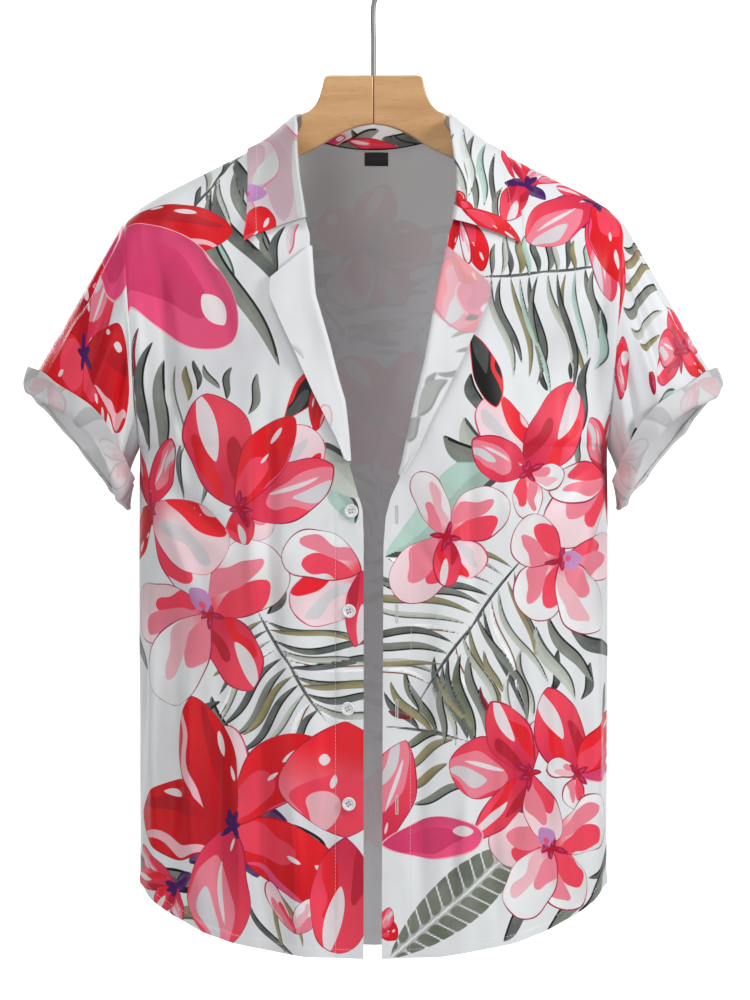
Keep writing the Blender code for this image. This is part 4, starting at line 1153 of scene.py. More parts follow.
def cloth_material(name, looks):
    """Smooth printed polyester, or its pale reverse, where the print shows through faintly, and more on the
    light-struck lapels. On the cuffs the reverse is darkened by a fifth, as painted shade."""
    found = bpy.data.materials.get(name)
    if found:
        return found
    inside = name != "print_face"
    made, tree, shader = start_material(name)
    colour = printed(tree, REVERSE_BLUR if inside else FACE_BLUR)
    if inside:
        share = {"print_lapel": looks.lapel_show_through, "print_cuff_painted_shade": looks.cuff_show_through}.get(
            name, looks.show_through)
        # On the cuffs the reverse is darkened by a fifth: painted shade on the turned-up ends.
        tone = 0.80 if name == "print_cuff_painted_shade" else 1.0
        colour = mix(tree, share, tuple(part * tone for part in looks.reverse), colour)
    feed_inputs(tree, shader, Base_Color=colour, Roughness=0.62 if inside else 0.40, Sheen_Weight=0.10,
                Sheen_Roughness=0.35, Specular_IOR_Level=0.30, Normal=weave(tree))
    return made


def thread_material(name, ink, roughness=0.55):
    found = bpy.data.materials.get(name)
    if found:
        return found
    made, tree, shader = start_material(name)
    twist = noise(tree, object_place(tree), 1500.0, 2.0)
    colour = mix(tree, ramp(tree, twist, 0.3, 0.7), linear(ink) * 0.82, linear(ink))
    feed_inputs(tree, shader, Base_Color=colour, Normal=bump(tree, twist, 0.0001, 0.4), Roughness=roughness,
                Sheen_Weight=0.2)
    return made


def white_thread():
    return thread_material("white_thread", "#E7E4E6")


def button_material():
    """Glossy white plastic with faint pearly clouds."""
    made, tree, shader = start_material("button_plastic")
    cloud = noise(tree, object_place(tree), 160.0, 3.0, 0.8)
    colour = mix(tree, ramp(tree, cloud, 0.35, 0.7), linear("#E6E4E6"), linear("#F4F3F3"))
    feed_inputs(tree, shader, Base_Color=colour, Roughness=0.16, Coat_Weight=0.4, Coat_Roughness=0.08,
                Subsurface_Weight=0.05)
    return made


def label_material():
    """Black damask satin: fine level ribs."""
    made, tree, shader = start_material("label_satin")
    ribs = bands(tree, object_place(tree), "Z", 700.0, 0.3)
    colour = mix(tree, ribs, linear("#0B0B0C"), linear("#1B1B1D"))
    feed_inputs(tree, shader, Base_Color=colour, Normal=bump(tree, ribs, 0.0001, 0.5), Roughness=0.42,
                Sheen_Weight=0.2)
    return made


def wood_material(name, light, dark, shift):
    """Lacquered beech: long soft rings along the board, short dark flecks and fine pores."""
    made, tree, shader = start_material(name)
    place = object_place(tree)
    rings = noise(tree, stretched(tree, place, (7.0, 60.0, 60.0), (shift, 0.02, 0.0)), 1.3, 5.0, 0.5)
    flecks = noise(tree, stretched(tree, place, (130.0, 900.0, 900.0)), 1.0, 2.0)
    colour = mix(tree, ramp(tree, rings, 0.36, 0.66), light, dark)
    colour = mix(tree, ramp(tree, flecks, 0.60, 0.74, 0.0, 0.35), colour, dark * 0.55)
    feed_inputs(tree, shader, Base_Color=colour, Normal=bump(tree, flecks, 0.0002, 0.25), Roughness=0.34,
                Coat_Weight=0.35, Coat_Roughness=0.22)
    return made


def steel_material():
    """Satin plated wire with faint lengthwise draw marks."""
    made, tree, shader = start_material("plated_wire")
    marks = noise(tree, stretched(tree, object_place(tree), (900.0, 900.0, 9.0)), 1.0, 3.0)
    colour = mix(tree, ramp(tree, marks, 0.35, 0.7), linear("#9A9D9A"), linear("#A9ACA8"))
    satin = ramp(tree, marks, 0.3, 0.7, 0.42, 0.54)
    feed_inputs(tree, shader, Base_Color=colour, Roughness=satin, Metallic=1.0)
    return made


# ---- cloth pieces ----

MADE = {}  # outer grids and normals, the sleeves' plain grids, and a search tree of the fronts


def finish_cloth(piece, node):
    """Tells the frame what a cloth piece rides and replaces."""
    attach(piece, "root")
    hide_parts(node)


def dress(piece, looks, outer="print_face", inner="print_reverse"):
    """Gives a cloth piece the materials of its outer and inner face."""
    for name in (outer, inner):
        piece.data.materials.append(cloth_material(name, looks))


def panel_surface(name, points, flat_start, underarm_row, body):
    """A body panel's outer points with hem, facing, seams and creases, its normals and flat map."""
    across, down, climb = cloth_map(points, flat_start, underarm_row)
    axis = np.array([0.2, 0.0, 1.0])
    normals = normals_of(points, False, points * axis)
    out, level = points[..., 0] / MM, down_of(points[..., 2])
    front = name != "back"
    side_gap, top_gap = np.abs(across - across[:, -1:]), climb[-1:] - climb
    if front:
        out = np.abs(out)
    else:
        side_gap = np.minimum(side_gap, np.abs(across - across[:, :1]))
    lift = crease_height(out, level, CREASES[name]) * body.crease_depth
    lift = lift + ripple(across, down) * body.crease_depth
    lift = lift * (smoothstep(0.0, 14.0, side_gap) * smoothstep(0.0, 18.0, top_gap))
    hem = smoothstep(HEM_WIDTH + 0.6, HEM_WIDTH - 0.6, climb) * 0.45 - 0.35 * bell(climb - HEM_WIDTH, 0.8)
    lift = lift + hem - 0.75 * bell(side_gap, 1.8) - 0.5 * bell(top_gap, 1.8)
    if front:
        inward = np.abs(across - across[:, :1])
        facing = smoothstep(FACING_WIDTH + 0.6, FACING_WIDTH - 0.4, inward) * smoothstep(345.0, 380.0, level)
        seam = bell(inward - FACING_WIDTH, 0.8) * smoothstep(340.0, 380.0, level)
        lift = lift + 0.35 * facing - 0.3 * seam
        clear = smoothstep(0.0, 14.0, inward) + smoothstep(360.0, 420.0, level)
        lift = lift * np.clip(clear, 0.0, 1.0)
    moved = points + normals * (lift * MM)[..., None]
    return moved, normals_of(moved, False, moved * axis), across, down


def make_fronts(body, looks):
    """Both front panels, from their closing edges round to the side seams."""
    for side in SIDES:
        name = f"front_{side}"
        points = front_grid(side, FRONT_ROWS, FRONT_COLUMNS)
        sign = sign_of(side)
        start = points[:, :1, 0] / MM * sign
        outer, normals, across, down = panel_surface(name, points, start, FRONT_ROWS[0], body)
        flat = np.stack([across * sign, down], axis=-1).reshape(-1, 2)
        parts = draw_print(flat, place_finder(points.reshape(-1, 3), flat), FLOWERS[name],
                           SINGLE_LEAVES[name], FRONDS[name], RIBBED_LEAVES.get(name, ()))
        piece = cloth_shell(f"{name}_cloth", outer, normals, body.cloth_thickness, step=4, flat=flat,
                            parts=parts)
        dress(piece, looks)
        finish_cloth(piece, name)
        MADE[name] = (outer, normals)


def mirrored(rows, shift):
    """Rows of leaves or fronds with the sign of both their outs changed and their downs moved."""
    return [(-row[0], row[1] + shift, -row[2], row[3] + shift, *row[4:]) for row in rows]


def back_print():
    """The back's motifs: the fronts' tables seen from behind, moved down, with more along the middle."""
    flowers, leaves, fronds, ribbed = [], [], [], []
    for side, shift in (("front_right", 34), ("front_left", 22)):
        spread = 12 if side == "front_left" else -12
        for out, down, centre, petals in FLOWERS[side]:
            moved = [(-petal[0] - spread, petal[1] + shift, *petal[2:]) for petal in petals]
            flowers.append((-out - spread, down + shift, centre, moved))
        leaves += mirrored(SINGLE_LEAVES[side], shift)
        fronds += mirrored(FRONDS[side], shift)
        ribbed += mirrored(RIBBED_LEAVES.get(side, ()), shift)
    flowers += [
        (6, 300, "throat", [(-30, 246, 44, "coral"), (36, 240, 40, "pink"), (60, 300, 38, "white_coral"),
                            (30, 356, 40, "blush"), (-34, 340, 44, "scarlet")]),
        (-4, 150, "star", [(-46, 116, 36, "rose"), (12, 92, 34, "coral"), (52, 140, 40, "red"),
                           (28, 198, 36, "pink"), (-34, 196, 38, "blush")]),
    ]
    fronds += [
        (-90, 120, -20, 230, 5, 9, (56, 70), (62, 64), 7.5, ("grey", "ash", "olive", "slate")),
        (90, 130, 24, 250, -5, 9, (60, 64), (56, 70), 7.5, ("slate", "grey", "teal", "ash")),
        (-20, 470, 10, 340, 4, 8, (56, 50), (60, 50), 7, ("grey", "olive", "ash")),
    ]
    return flowers, leaves, fronds, ribbed


def make_back(body, looks):
    """The back panel, from side seam to side seam, with its flat cloth counted from the middle."""
    points = back_grid(BACK_ROWS, BACK_COLUMNS)
    middle = points.shape[1] // 2
    outer, normals, across, down = panel_surface("back", points, 0.0, BACK_ROWS[0], body)
    across = across - across[:, middle : middle + 1]
    flat = np.stack([across, down], axis=-1).reshape(-1, 2)
    parts = draw_print(flat, place_finder(points.reshape(-1, 3), flat), *back_print())
    piece = cloth_shell("back_cloth", outer, normals, body.cloth_thickness, flat=flat, parts=parts)
    dress(piece, looks)
    finish_cloth(piece, "back")
    MADE["back"] = (outer, normals)


# Sleeves: their own flowers and leaves, in the front view.
FLOWERS["sleeve_right"] = [
    (-252, 246, "star", [
        (-224, 156, 50, "pink"), (-270, 190, 54, "red"), (-294, 270, 56, "scarlet"),
        (-238, 330, 66, "scarlet"), (-212, 280, 50, "red")]),
    (-236, 146, None, [(-200, 142, 42, "red"), (-204, 186, 56, "rose")]),
    (-226, 140, None, [(-297, 263, 62, "red")]),
]
FLOWERS["sleeve_left"] = [
    (268, 243, "throat", [
        (256, 202, 24, "coral"), (282, 232, 18, "pink"), (290, 262, 16, "scarlet"), (246, 268, 24, "coral"),
        (248, 236, 22, "pink")]),
    (206, 262, None, [(222, 250, 26, "coral"), (218, 276, 20, "pink")]),
    (212, 150, None, [(208, 204, 34, "scarlet"), (202, 236, 22, "pink")]),
    (238, 262, None, [(244, 280, 8, "throat")]),
    (300, 214, None, [(282, 196, 20, "blush"), (310, 192, 22, "pink"), (322, 216, 20, "coral")]),
]
SINGLE_LEAVES["sleeve_right"] = [
    (-208, 232, -206, 300, 10, 0.05, "brown"), (-300, 210, -282, 190, 8, 0.1, "grey"),
    (-216, 330, -222, 360, 8, 0.0, "white"),
]
SINGLE_LEAVES["sleeve_left"] = [
    (216, 152, 240, 150, 7, 0.1, "grey"), (214, 166, 246, 158, 8, 0.08, "brown"),
    (214, 184, 250, 172, 8, 0.08, "olive"), (216, 204, 250, 190, 9, 0.08, "grey"),
    (222, 222, 252, 208, 7, 0.1, "ash"), (230, 236, 250, 228, 5, 0.1, "olive"),
    (244, 170, 262, 196, 7, 0.1, "slate"), (250, 150, 262, 176, 8, 0.1, "olive"),
    (238, 300, 262, 276, 9, 0.05, "teal"), (222, 372, 230, 312, 26, 0.02, "slate"),
    (262, 150, 240, 134, 8, 0.08, "slate"), (274, 172, 256, 158, 8, 0.08, "olive"),
    (288, 176, 276, 154, 8, 0.06, "ash"), (270, 184, 292, 168, 9, 0.06, "grey"),
    (228, 330, 244, 312, 10, 0.1, "grey"),
]
# Behind, in millimetres round the sleeve from the underarm up the front, and down from the armhole.
SLEEVE_BACK_FLOWERS = [
    (296, 66, "throat", [
        (276, 20, 34, "coral"), (338, 40, 32, "pink"), (330, 98, 34, "coral"), (284, 118, 32, "scarlet"),
        (266, 84, 22, "coral")]),
    (384, 122, "star", [
        (362, 84, 32, "red"), (414, 88, 34, "scarlet"), (426, 136, 28, "red"), (388, 170, 32, "coral"),
        (346, 146, 30, "pink")]),
]
SLEEVE_BACK_LEAVES = [
    (352, 4, 346, 58, 9, 0.06, "grey"), (368, 0, 364, 54, 9, -0.06, "slate"),
    (384, 0, 388, 56, 8, 0.05, "ash"), (402, 0, 410, 52, 9, 0.06, "olive"),
    (420, 16, 428, 60, 9, -0.05, "grey"), (316, 126, 306, 168, 8, 0.06, "slate"),
    (332, 122, 328, 170, 8, 0.05, "teal"), (244, 14, 262, 52, 8, 0.06, "grey"),
    (262, 130, 252, 166, 9, 0.06, "ash"),
]


def sleeve_grid(side, rings, columns):
    """Rings from the armhole's oval to the sleeve's end, joined by straight lines with a slight bow under
    the arm. A ring runs from the underarm up the front, over the top and down the back."""
    sign = sign_of(side)
    turn = np.linspace(0.0, 2 * math.pi, columns, endpoint=False)
    way = np.where(turn <= math.pi, turn, 2 * math.pi - turn) / math.pi
    up = 1.0 - (1.0 - way) ** RIDGE_CROWDING
    ends = np.ones(columns)
    armhole = np.where((turn <= math.pi)[:, None], form(ends, up, False), form(ends, up, True))
    armhole[:, 0] *= sign
    top = np.array([sign * CUFF_TOP[0] * MM, 0.0, height(CUFF_TOP[1])])
    bottom = np.array([sign * CUFF_BOTTOM[0] * MM, 0.0, height(CUFF_BOTTOM[1])])
    middle, half = (top + bottom) / 2, (top - bottom) / 2
    upward = unit(np.array([-sign * (top - bottom)[2], 0.0, sign * (top - bottom)[0]]))
    front = np.clip(np.sin(turn), 0.0, 1.0)
    end = middle - half * np.cos(turn)[:, None] + np.outer(front**4 * CUFF_FRONT_LIFT, upward)
    end[:, 1] -= CUFF_HALF_DEPTH * np.sin(turn)
    share = np.linspace(0.0, 1.0, rings + 1)[:, None, None]
    grid = armhole[None] * (1 - share) + end[None] * share
    under = np.clip(np.cos(turn), 0.0, 1.0) ** 2
    grid[..., 0] += sign * UNDERSLEEVE_BOW * under[None] * 4 * share[..., 0] * (1 - share[..., 0])
    return grid, turn, share[..., 0]


def around(a, b):
    """Difference of two angles in degrees, between -180 and 180."""
    return (a - b + 180.0) % 360.0 - 180.0


def make_sleeves(body, looks):
    """Both sleeves, as creased tubes from the armholes to their ends."""
    for side in SIDES:
        name = f"sleeve_{side}"
        grid, turn, share = sleeve_grid(side, SLEEVE_RINGS, SLEEVE_COLUMNS)
        centre = grid.mean(axis=1, keepdims=True)
        normals = normals_of(grid, True, centre)
        degrees = np.degrees(turn)[None, :]
        lift = np.zeros(grid.shape[:2])
        for where, first, last, drift, half_width, size in SLEEVE_CREASES[side]:
            way = np.clip((share - first) / (last - first), 0.0, 1.0)
            fade = np.sin(math.pi * np.clip(way * 0.8 + 0.1, 0, 1)) ** 1.5
            fade = fade * smoothstep(0.0, 0.08, share) * smoothstep(1.0, 0.9, share)
            lift += size * fade * bell(around(degrees, where + drift * way), half_width)
        run = run_along(grid) / MM
        lift = lift * body.crease_depth - 0.75 * bell(run, 1.8)
        outer = grid + normals * (lift * MM)[..., None]
        normals = normals_of(outer, True, centre)
        girth = np.linalg.norm(np.roll(grid, -1, axis=1) - grid, axis=2).mean(axis=0)
        around_run = np.concatenate([[0.0], np.cumsum(girth)[:-1]]) / MM
        flat = np.stack([np.broadcast_to(around_run, run.shape), run], axis=-1).reshape(-1, 2)
        piece = cloth_shell(f"{name}_cloth", outer, normals, body.cloth_thickness, closed=True, flat=flat,
                            parts=draw_sleeve(name, grid, flat))
        dress(piece, looks)
        finish_cloth(piece, name)
        MADE[name] = grid


def draw_sleeve(name, grid, flat):
    """A sleeve's motifs are placed by their front view on its front half, and on its flat cloth behind."""
    half = grid.shape[1] // 2
    front = np.tile(np.arange(grid.shape[1]) <= half, len(grid))
    find = sleeve_finder(grid.reshape(-1, 3), flat, front)
    parts = draw_print(flat, find, FLOWERS[name], SINGLE_LEAVES[name])
    return draw_print(flat, as_given, SLEEVE_BACK_FLOWERS, SLEEVE_BACK_LEAVES, parts=parts)


def make_cuffs(body, looks):
    """The sleeves' turned-up ends: a rolled section carried round each end, then gathered into folds."""
    for side in SIDES:
        name = f"cuff_{side}"
        grid = MADE[f"sleeve_{side}"]
        end, before = grid[-1], grid[-8]
        centre = grid.mean(axis=1, keepdims=True)
        outward = normals_of(grid, True, centre)[-1]
        round_edge = unit(np.roll(end, -1, axis=0) - np.roll(end, 1, axis=0))
        up_sleeve = unit(np.cross(outward, round_edge))
        up_sleeve *= np.sign(np.sum(up_sleeve * (before - end), axis=-1, keepdims=True))
        section = catmull(CUFF_SECTION, 4) * MM
        turn = np.linspace(0.0, 2 * math.pi, len(end), endpoint=False)
        share = np.linspace(0.0, 1.0, len(section))[:, None]
        uneven = 1.0 + 0.09 * np.sin(3 * turn + 0.7) + 0.06 * np.sin(7 * turn + 2.0)
        middle = end[None] + section[:, 0, None, None] * (up_sleeve * uneven[:, None])[None]
        middle = middle + section[:, 1, None, None] * outward[None]
        normals = normals_of(middle, True, middle.mean(axis=1, keepdims=True))
        gather = (0.4 * np.sin(9 * turn + 1.2 * np.sin(2 * turn)) + 0.15 * np.sin(16 * turn + 0.4 + 2 * share)
                  + 0.7 * np.sin(5 * turn + 6 * share)) * smoothstep(0.15, 0.7, share)
        for where, half_width, size in CUFF_PLEATS[side]:
            apart = np.abs(around(np.degrees(turn), where + 14 * share) / half_width)
            gather += size * 0.75 * np.exp(-(apart**1.6))
        middle = middle + normals * (np.maximum(gather, -0.8) * body.crease_depth * MM)[..., None]
        normals = normals_of(middle, True, middle.mean(axis=1, keepdims=True))
        outer = middle + normals * body.cloth_thickness * 0.8
        flat = np.broadcast_arrays(run_along(end)[None, :] / MM, run_along(middle[:, 0])[:, None] / MM)
        flat = np.stack(flat, axis=-1).reshape(-1, 2)
        parts = draw_print(flat, as_given, CUFF_FLOWERS, CUFF_LEAVES)
        piece = cloth_shell(f"{name}_cloth", outer, normals, body.cloth_thickness * 1.6, closed=True,
                            flat=flat, parts=parts)
        # The cuff's outer face wears the reverse darkened by painted shade.
        dress(piece, looks, "print_cuff_painted_shade", "print_face")
        finish_cloth(piece, name)


# Soft folds of the cuffs: turn round the cuff in degrees, half-width in degrees, height in millimetres.
CUFF_PLEATS = {
    "right": [
        (28, 8, 1.7), (62, 6, -1.1), (96, 9, 1.5), (128, 6, -1.2), (158, 7, 1.4), (214, 8, 1.4),
        (262, 7, -1.1), (310, 8, 1.5),
    ],
    "left": [
        (20, 7, 1.5), (52, 7, -1.2), (84, 8, 1.7), (118, 6, -1.1), (146, 9, 1.6), (200, 8, -1.0),
        (248, 8, 1.5), (298, 7, 1.3),
    ],
}
CUFF_FLOWERS = [
    (60, 30, None, [(44, 4, 16, "blush"), (84, 8, 14, "white")]),
    (150, 24, None, [(124, 6, 14, "pink"), (180, 4, 16, "blush")]),
    (270, 30, None, [(240, 4, 20, "pink"), (296, 6, 20, "rose")]),
    (350, 26, None, [(330, 2, 20, "coral"), (372, 8, 22, "blush")]),
]
CUFF_LEAVES = [
    (96, 30, 112, 0, 12, 0.1, "slate"), (4, 30, 12, 0, 12, 0.1, "night"), (18, 30, 30, 4, 9, 0.1, "slate"),
    (132, 30, 140, 2, 8, 0.1, "grey"), (166, 30, 178, 0, 12, 0.1, "grey"), (200, 30, 214, 0, 9, 0.1, "grey"),
    (222, 28, 230, 0, 7, 0.1, "olive"), (310, 30, 318, 0, 9, -0.1, "slate"),
    (374, 28, 380, 2, 8, 0.1, "night"),
]


def place_at_height(line, z):
    """Point of a rising line at a height."""
    return np.array([np.interp(z, line[:, 2], line[:, axis]) for axis in range(3)])


def probe(tree, place):
    """Y of the front's outer face at a point's x and z, seen from the front."""
    hit = tree.ray_cast(Vector((place[0], -1.0, place[2])), Vector((0, 1, 0)))[0]
    if hit is None:
        hit = tree.find_nearest(Vector((place[0], -FRONT_DEPTH, place[2])))[0]
    return hit.y


def lapel_grid(side, edge, tree):
    """Control points of the folded-back front edge: rows down the roll, columns from behind the front's
    edge, round it and over the front to the lapel's outer edge."""
    sign = sign_of(side)
    table = LAPEL_ROWS[side]
    rows = []
    for roll_down in np.linspace(table[0][0], table[-1][0], 26):
        roll = place_at_height(edge, height(roll_down))
        along_edge = place_at_height(edge, height(roll_down - 8)) - roll
        inward = unit(np.array([-sign * along_edge[2], 0.0, sign * along_edge[0]]))
        end = np.array([sign * along(table, 1, roll_down) * MM, 0.0, height(along(table, 2, roll_down))])
        width = (end - roll) * np.array([1.0, 0.0, 1.0])
        row = [
            roll + inward * (ROLL_GAP + CAD_WALL / 2) + np.array([0.0, 0.0010, 0.0]),
            roll + inward * (ROLL_GAP + CAD_WALL / 2 + 0.0004) - np.array([0.0, 0.0009, 0.0]),
        ]
        for share in np.linspace(0.0, 1.0, 9):
            place = roll - inward * 0.0010 * (1 - share) + width * share
            belly = 0.0016 * math.sin(math.pi * share) * math.sin(roll_down / 21.0)
            lift = LAPEL_CLEARANCE + LAPEL_LIFT * share**1.5 + belly * 0.5
            row.append(np.array([place[0], probe(tree, place) - lift, place[2]]))
        rows.append(row)
    return np.array(rows)


LAPEL_FLOWERS = {
    "right": [(-78, 300, None, [(-96, 262, 16, "blush")]), (-50, 330, None, [(-40, 290, 12, "blush")])],
    "left": [
        (104, 150, None, [(58, 216, 70, "rose"), (74, 226, 60, "pink")]),
        (70, 148, None, [(102, 206, 24, "scarlet")]), (96, 168, None, [(100, 216, 44, "rose")]),
        (78, 216, None, [(94, 214, 6, "night")]),
    ],
}
LAPEL_LEAVES = {
    "right": [(-60, 250, -74, 236, 4, 0.1, "ash"), (-52, 286, -60, 270, 4, 0.1, "mist")],
    "left": [
        (88, 226, 66, 232, 4, 0.1, "olive"), (92, 244, 70, 244, 4, 0.1, "slate"),
        (52, 262, 84, 258, 5, 0.1, "slate"), (64, 268, 38, 300, 15, 0.1, "grey"),
        (54, 262, 46, 284, 8, 0.1, "slate"), (40, 300, 30, 322, 12, 0.1, "grey"),
        (96, 196, 90, 206, 4, 0.1, "slate"),
    ],
}


def make_lapels(body, looks):
    """The fronts' folded-back edges, which show the cloth's reverse."""
    tree = tree_of([MADE["front_right"][0], MADE["front_left"][0]])
    MADE["front_tree"] = tree
    for side in SIDES:
        name = f"lapel_{side}"
        middle = refined(lapel_grid(side, MADE[f"front_{side}"][0][:, 0], tree), 4, 3)
        normals = normals_of(middle, False, middle + np.array([0.0, 0.2, 0.0]))
        outer = middle + normals * body.cloth_thickness * 0.6
        view = front_view(middle.reshape(-1, 3))
        parts = draw_print(view, as_given, LAPEL_FLOWERS[side], LAPEL_LEAVES[side])
        piece = cloth_shell(f"{name}_cloth", outer, normals, body.cloth_thickness * 1.2, step=1, flat=view,
                            parts=parts)
        dress(piece, looks, "print_lapel", "print_face")
        finish_cloth(piece, name)


def collar_lines():
    """Fold and outer edge of the collar from the right front end round the back to the left front end."""
    halves = {}
    for side in SIDES:
        rows = catmull(COLLAR[side], 3)
        sign = sign_of(side)
        fold = np.stack([sign * rows[:, 0] * MM, rows[:, 2] * MM, height(rows[:, 1])], axis=1)
        edge = np.stack([sign * rows[:, 3] * MM, rows[:, 5] * MM, height(rows[:, 4])], axis=1)
        halves[side] = (fold, edge)
    fold = np.concatenate([halves["right"][0], halves["left"][0][-2::-1]])
    edge = np.concatenate([halves["right"][1], halves["left"][1][-2::-1]])
    return fold, edge


def neck_line():
    """The shirt's neck edge, from the right collar end by the back to the left collar end."""
    back = MADE["back"][0]
    back_edge = back[-1][np.abs(back[-1, :, 0]) < NECK_OUT * MM]
    ends = {}
    for side in SIDES:
        edge = MADE[f"front_{side}"][0][:, 0]
        ends[side] = edge[edge[:, 2] > height(COLLAR[side][0][1] + 1)]
    return np.concatenate([ends["right"], back_edge[1:-1], ends["left"][::-1]])


def resampled(line, like):
    """Points of a line at the same shares of its length as another line has."""
    def shares(points):
        run = run_along(points)
        return run / run[-1]

    return np.stack([np.interp(shares(like), shares(line), line[:, axis]) for axis in range(3)], axis=1)


def settled(points, tree, share):
    """Pushes control points clear of the shirt, and draws those near the outer edge down onto it."""
    moved = []
    for point in points:
        near, normal, _, _ = tree.find_nearest(Vector(point))
        outward = Vector((near.x * 0.5, near.y, 0.06))
        normal = normal if normal.dot(outward) > 0 else -normal
        missing = COLLAR_CLEARANCE - (Vector(point) - near).dot(normal)
        moved.append(np.array(Vector(point) + normal * missing * (1.0 if missing > 0 else share**2)))
    return np.array(moved)


def collar_grid(tree):
    """Control points of the collar: up the stand from the neck seam, round the fold and down the fall,
    which settles on the shirt towards its outer edge."""
    fold, edge = collar_lines()
    seam = resampled(neck_line(), fold)
    inward = unit((NECK_CENTRE - seam) * np.array([1.0, 1.0, 0.0]))
    seam = seam + inward * (GAP + CAD_WALL / 2) + np.array([0.0, 0.0, SEAM_RAISE])
    rising, falling = unit(fold - seam), unit(edge - fold)
    ahead = np.sum(falling * rising, axis=1, keepdims=True)
    sideways = unit(falling - rising * ahead)
    turn = np.arctan2(np.sqrt(1.0 - ahead**2), ahead)
    columns = [seam, seam + (fold - seam) * 0.35, seam + (fold - seam) * 0.7]
    for share in np.linspace(0.0, 1.0, 5):
        angle = turn * share
        columns.append(fold + FOLD_RADIUS * (sideways * (1 - np.cos(angle)) + rising * (np.sin(angle) - 1)))
    bend_end = columns[-1]
    for share in np.linspace(0.0, 1.0, 8)[1:]:
        bow = np.array([0.0, 0.0, FALL_BOW * 4 * share * (1 - share)])
        columns.append(settled(bend_end + (edge - bend_end) * share + bow, tree, share))
    return np.stack(columns, axis=1)


COLLAR_FLOWERS = [
    (-92, 30, None, [(-108, 150, 70, "mauve"), (-70, 140, 50, "mauve")]),
    (-122, 108, None, [(-90, 60, 40, "mauve"), (-92, 106, 13, "lilac")]),
    (-114, 164, None, [(-94, 118, 30, "scarlet")]), (-64, 150, None, [(-76, 134, 14, "coral")]),
    (130, 96, "star", [(112, 66, 16, "coral"), (112, 130, 24, "coral"), (150, 120, 20, "pink")]),
    (78, 120, None, [(128, 152, 16, "scarlet"), (70, 104, 10, "red")]),
    (74, 112, None, [(86, 128, 8, "scarlet")]),
    (0, 76, None, [(-44, 72, 10, "scarlet"), (44, 72, 10, "scarlet")]),
    (22, 60, None, [(-24, 54, 10, "coral")]), (-62, 62, None, [(-22, 50, 13, "rose")]),
]
COLLAR_LEAVES = [
    (64, 40, 80, 116, 9, 0.06, "ash"), (78, 46, 80, 112, 8, -0.05, "mist"),
    (88, 52, 88, 124, 8, 0.06, "grey"), (98, 60, 95, 118, 7, 0.05, "teal"),
    (106, 68, 106, 134, 5, 0.05, "slate"), (70, 52, 68, 118, 6, 0.06, "ash"),
    (112, 100, 106, 140, 6, 0.1, "grey"), (-62, 44, -44, 78, 8, 0.1, "grey"),
    (-20, 44, 6, 62, 9, 0.1, "slate"), (16, 48, 50, 64, 9, 0.1, "slate"), (44, 54, 28, 74, 7, 0.1, "grey"),
    (-90, 120, -84, 146, 5, 0.1, "blush"), (-30, 58, -52, 72, 7, 0.1, "grey"),
    (-40, 58, 6, 44, 12, 0.1, "grey"), (6, 52, 56, 62, 12, -0.1, "slate"),
    (-108, 96, -74, 120, 4, 0.1, "plum"), (-104, 74, -76, 88, 4, -0.1, "plum"),
]


def make_collar(body, looks):
    """The camp collar, laid on the fronts and the back."""
    tree = tree_of([MADE["front_right"][0], MADE["front_left"][0], MADE["back"][0]])
    middle = refined(collar_grid(tree), 8, 4)
    normals = normals_of(middle, False, np.array([0.0, 0.0, float(height(70))]))
    outer = middle + normals * body.cloth_thickness * 0.6
    view = front_view(middle.reshape(-1, 3))
    parts = draw_print(view, as_given, COLLAR_FLOWERS, COLLAR_LEAVES)
    piece = cloth_shell("collar_cloth", outer, normals, body.cloth_thickness * 1.2, step=1, flat=view,
                        parts=parts)
    dress(piece, looks, "print_face", "print_face")
    finish_cloth(piece, "collar")
    MADE["collar"] = (outer, normals)


# ---- sewing and small pieces ----


def front_hit(x, down):
    """Point and outward normal of the fronts' outer face at a place of the front view."""
    start = Vector((x, -1.0, float(height(down))))
    hit, normal, _, _ = MADE["front_tree"].ray_cast(start, Vector((0, 1, 0)))
    return np.array(hit), np.array(normal) * (-1 if normal.y > 0 else 1)


def make_stitches(body):
    """Lines of stitches above the hem, along the fronts' facings and near the collar's edge."""
    lines = []
    for name in ("front_right", "front_left", "back"):
        points, normals = MADE[name]
        row = np.argmin(np.abs(run_along(points) - HEM_WIDTH * MM), axis=0)
        columns = np.arange(points.shape[1])
        lines.append((points[row, columns], normals[row, columns]))
    for name in ("front_right", "front_left"):
        points, normals = MADE[name]
        inward = np.linalg.norm(points - points[:, :1], axis=2)
        column = np.argmin(np.abs(inward - FACING_WIDTH * MM), axis=1)
        rows = np.flatnonzero(points[:, 0, 2] < height(372))
        lines.append((points[rows, column[rows]], normals[rows, column[rows]]))
    points, normals = MADE["collar"]
    lines.append((points[5:-5, -6], normals[5:-5, -6]))
    stitches = np.concatenate([run_of_stitches(*line, body.stitch) for line in lines])
    hand_over(strands("stitch_lines", stitches, 0.00016), "printed_cloth", white_thread())


def make_buttonholes():
    """Each hole is a narrow slit with purl stitches across both its sides and a bar at either end."""
    stitches = []
    for out, down in BUTTONHOLES:
        for side in (-1, 1):
            for level in np.linspace(-7.2, 7.2, 34):
                place, normal = front_hit(out * MM + side * 0.0003, down + level)
                near = place + normal * 0.0001
                stitches.append((near, near + np.array([side * 0.0011, 0.0, 0.0]), normal * 0.00028))
        for level in (-7.5, -7.9, 7.5, 7.9):
            place, normal = front_hit(out * MM, down + level)
            reach = np.array([0.0013, 0.0, 0.0])
            stitches.append((place - reach, place + reach, normal * 0.0003))
    hand_over(strands("buttonhole_stitches", stitches, 0.00021), "printed_cloth", white_thread())


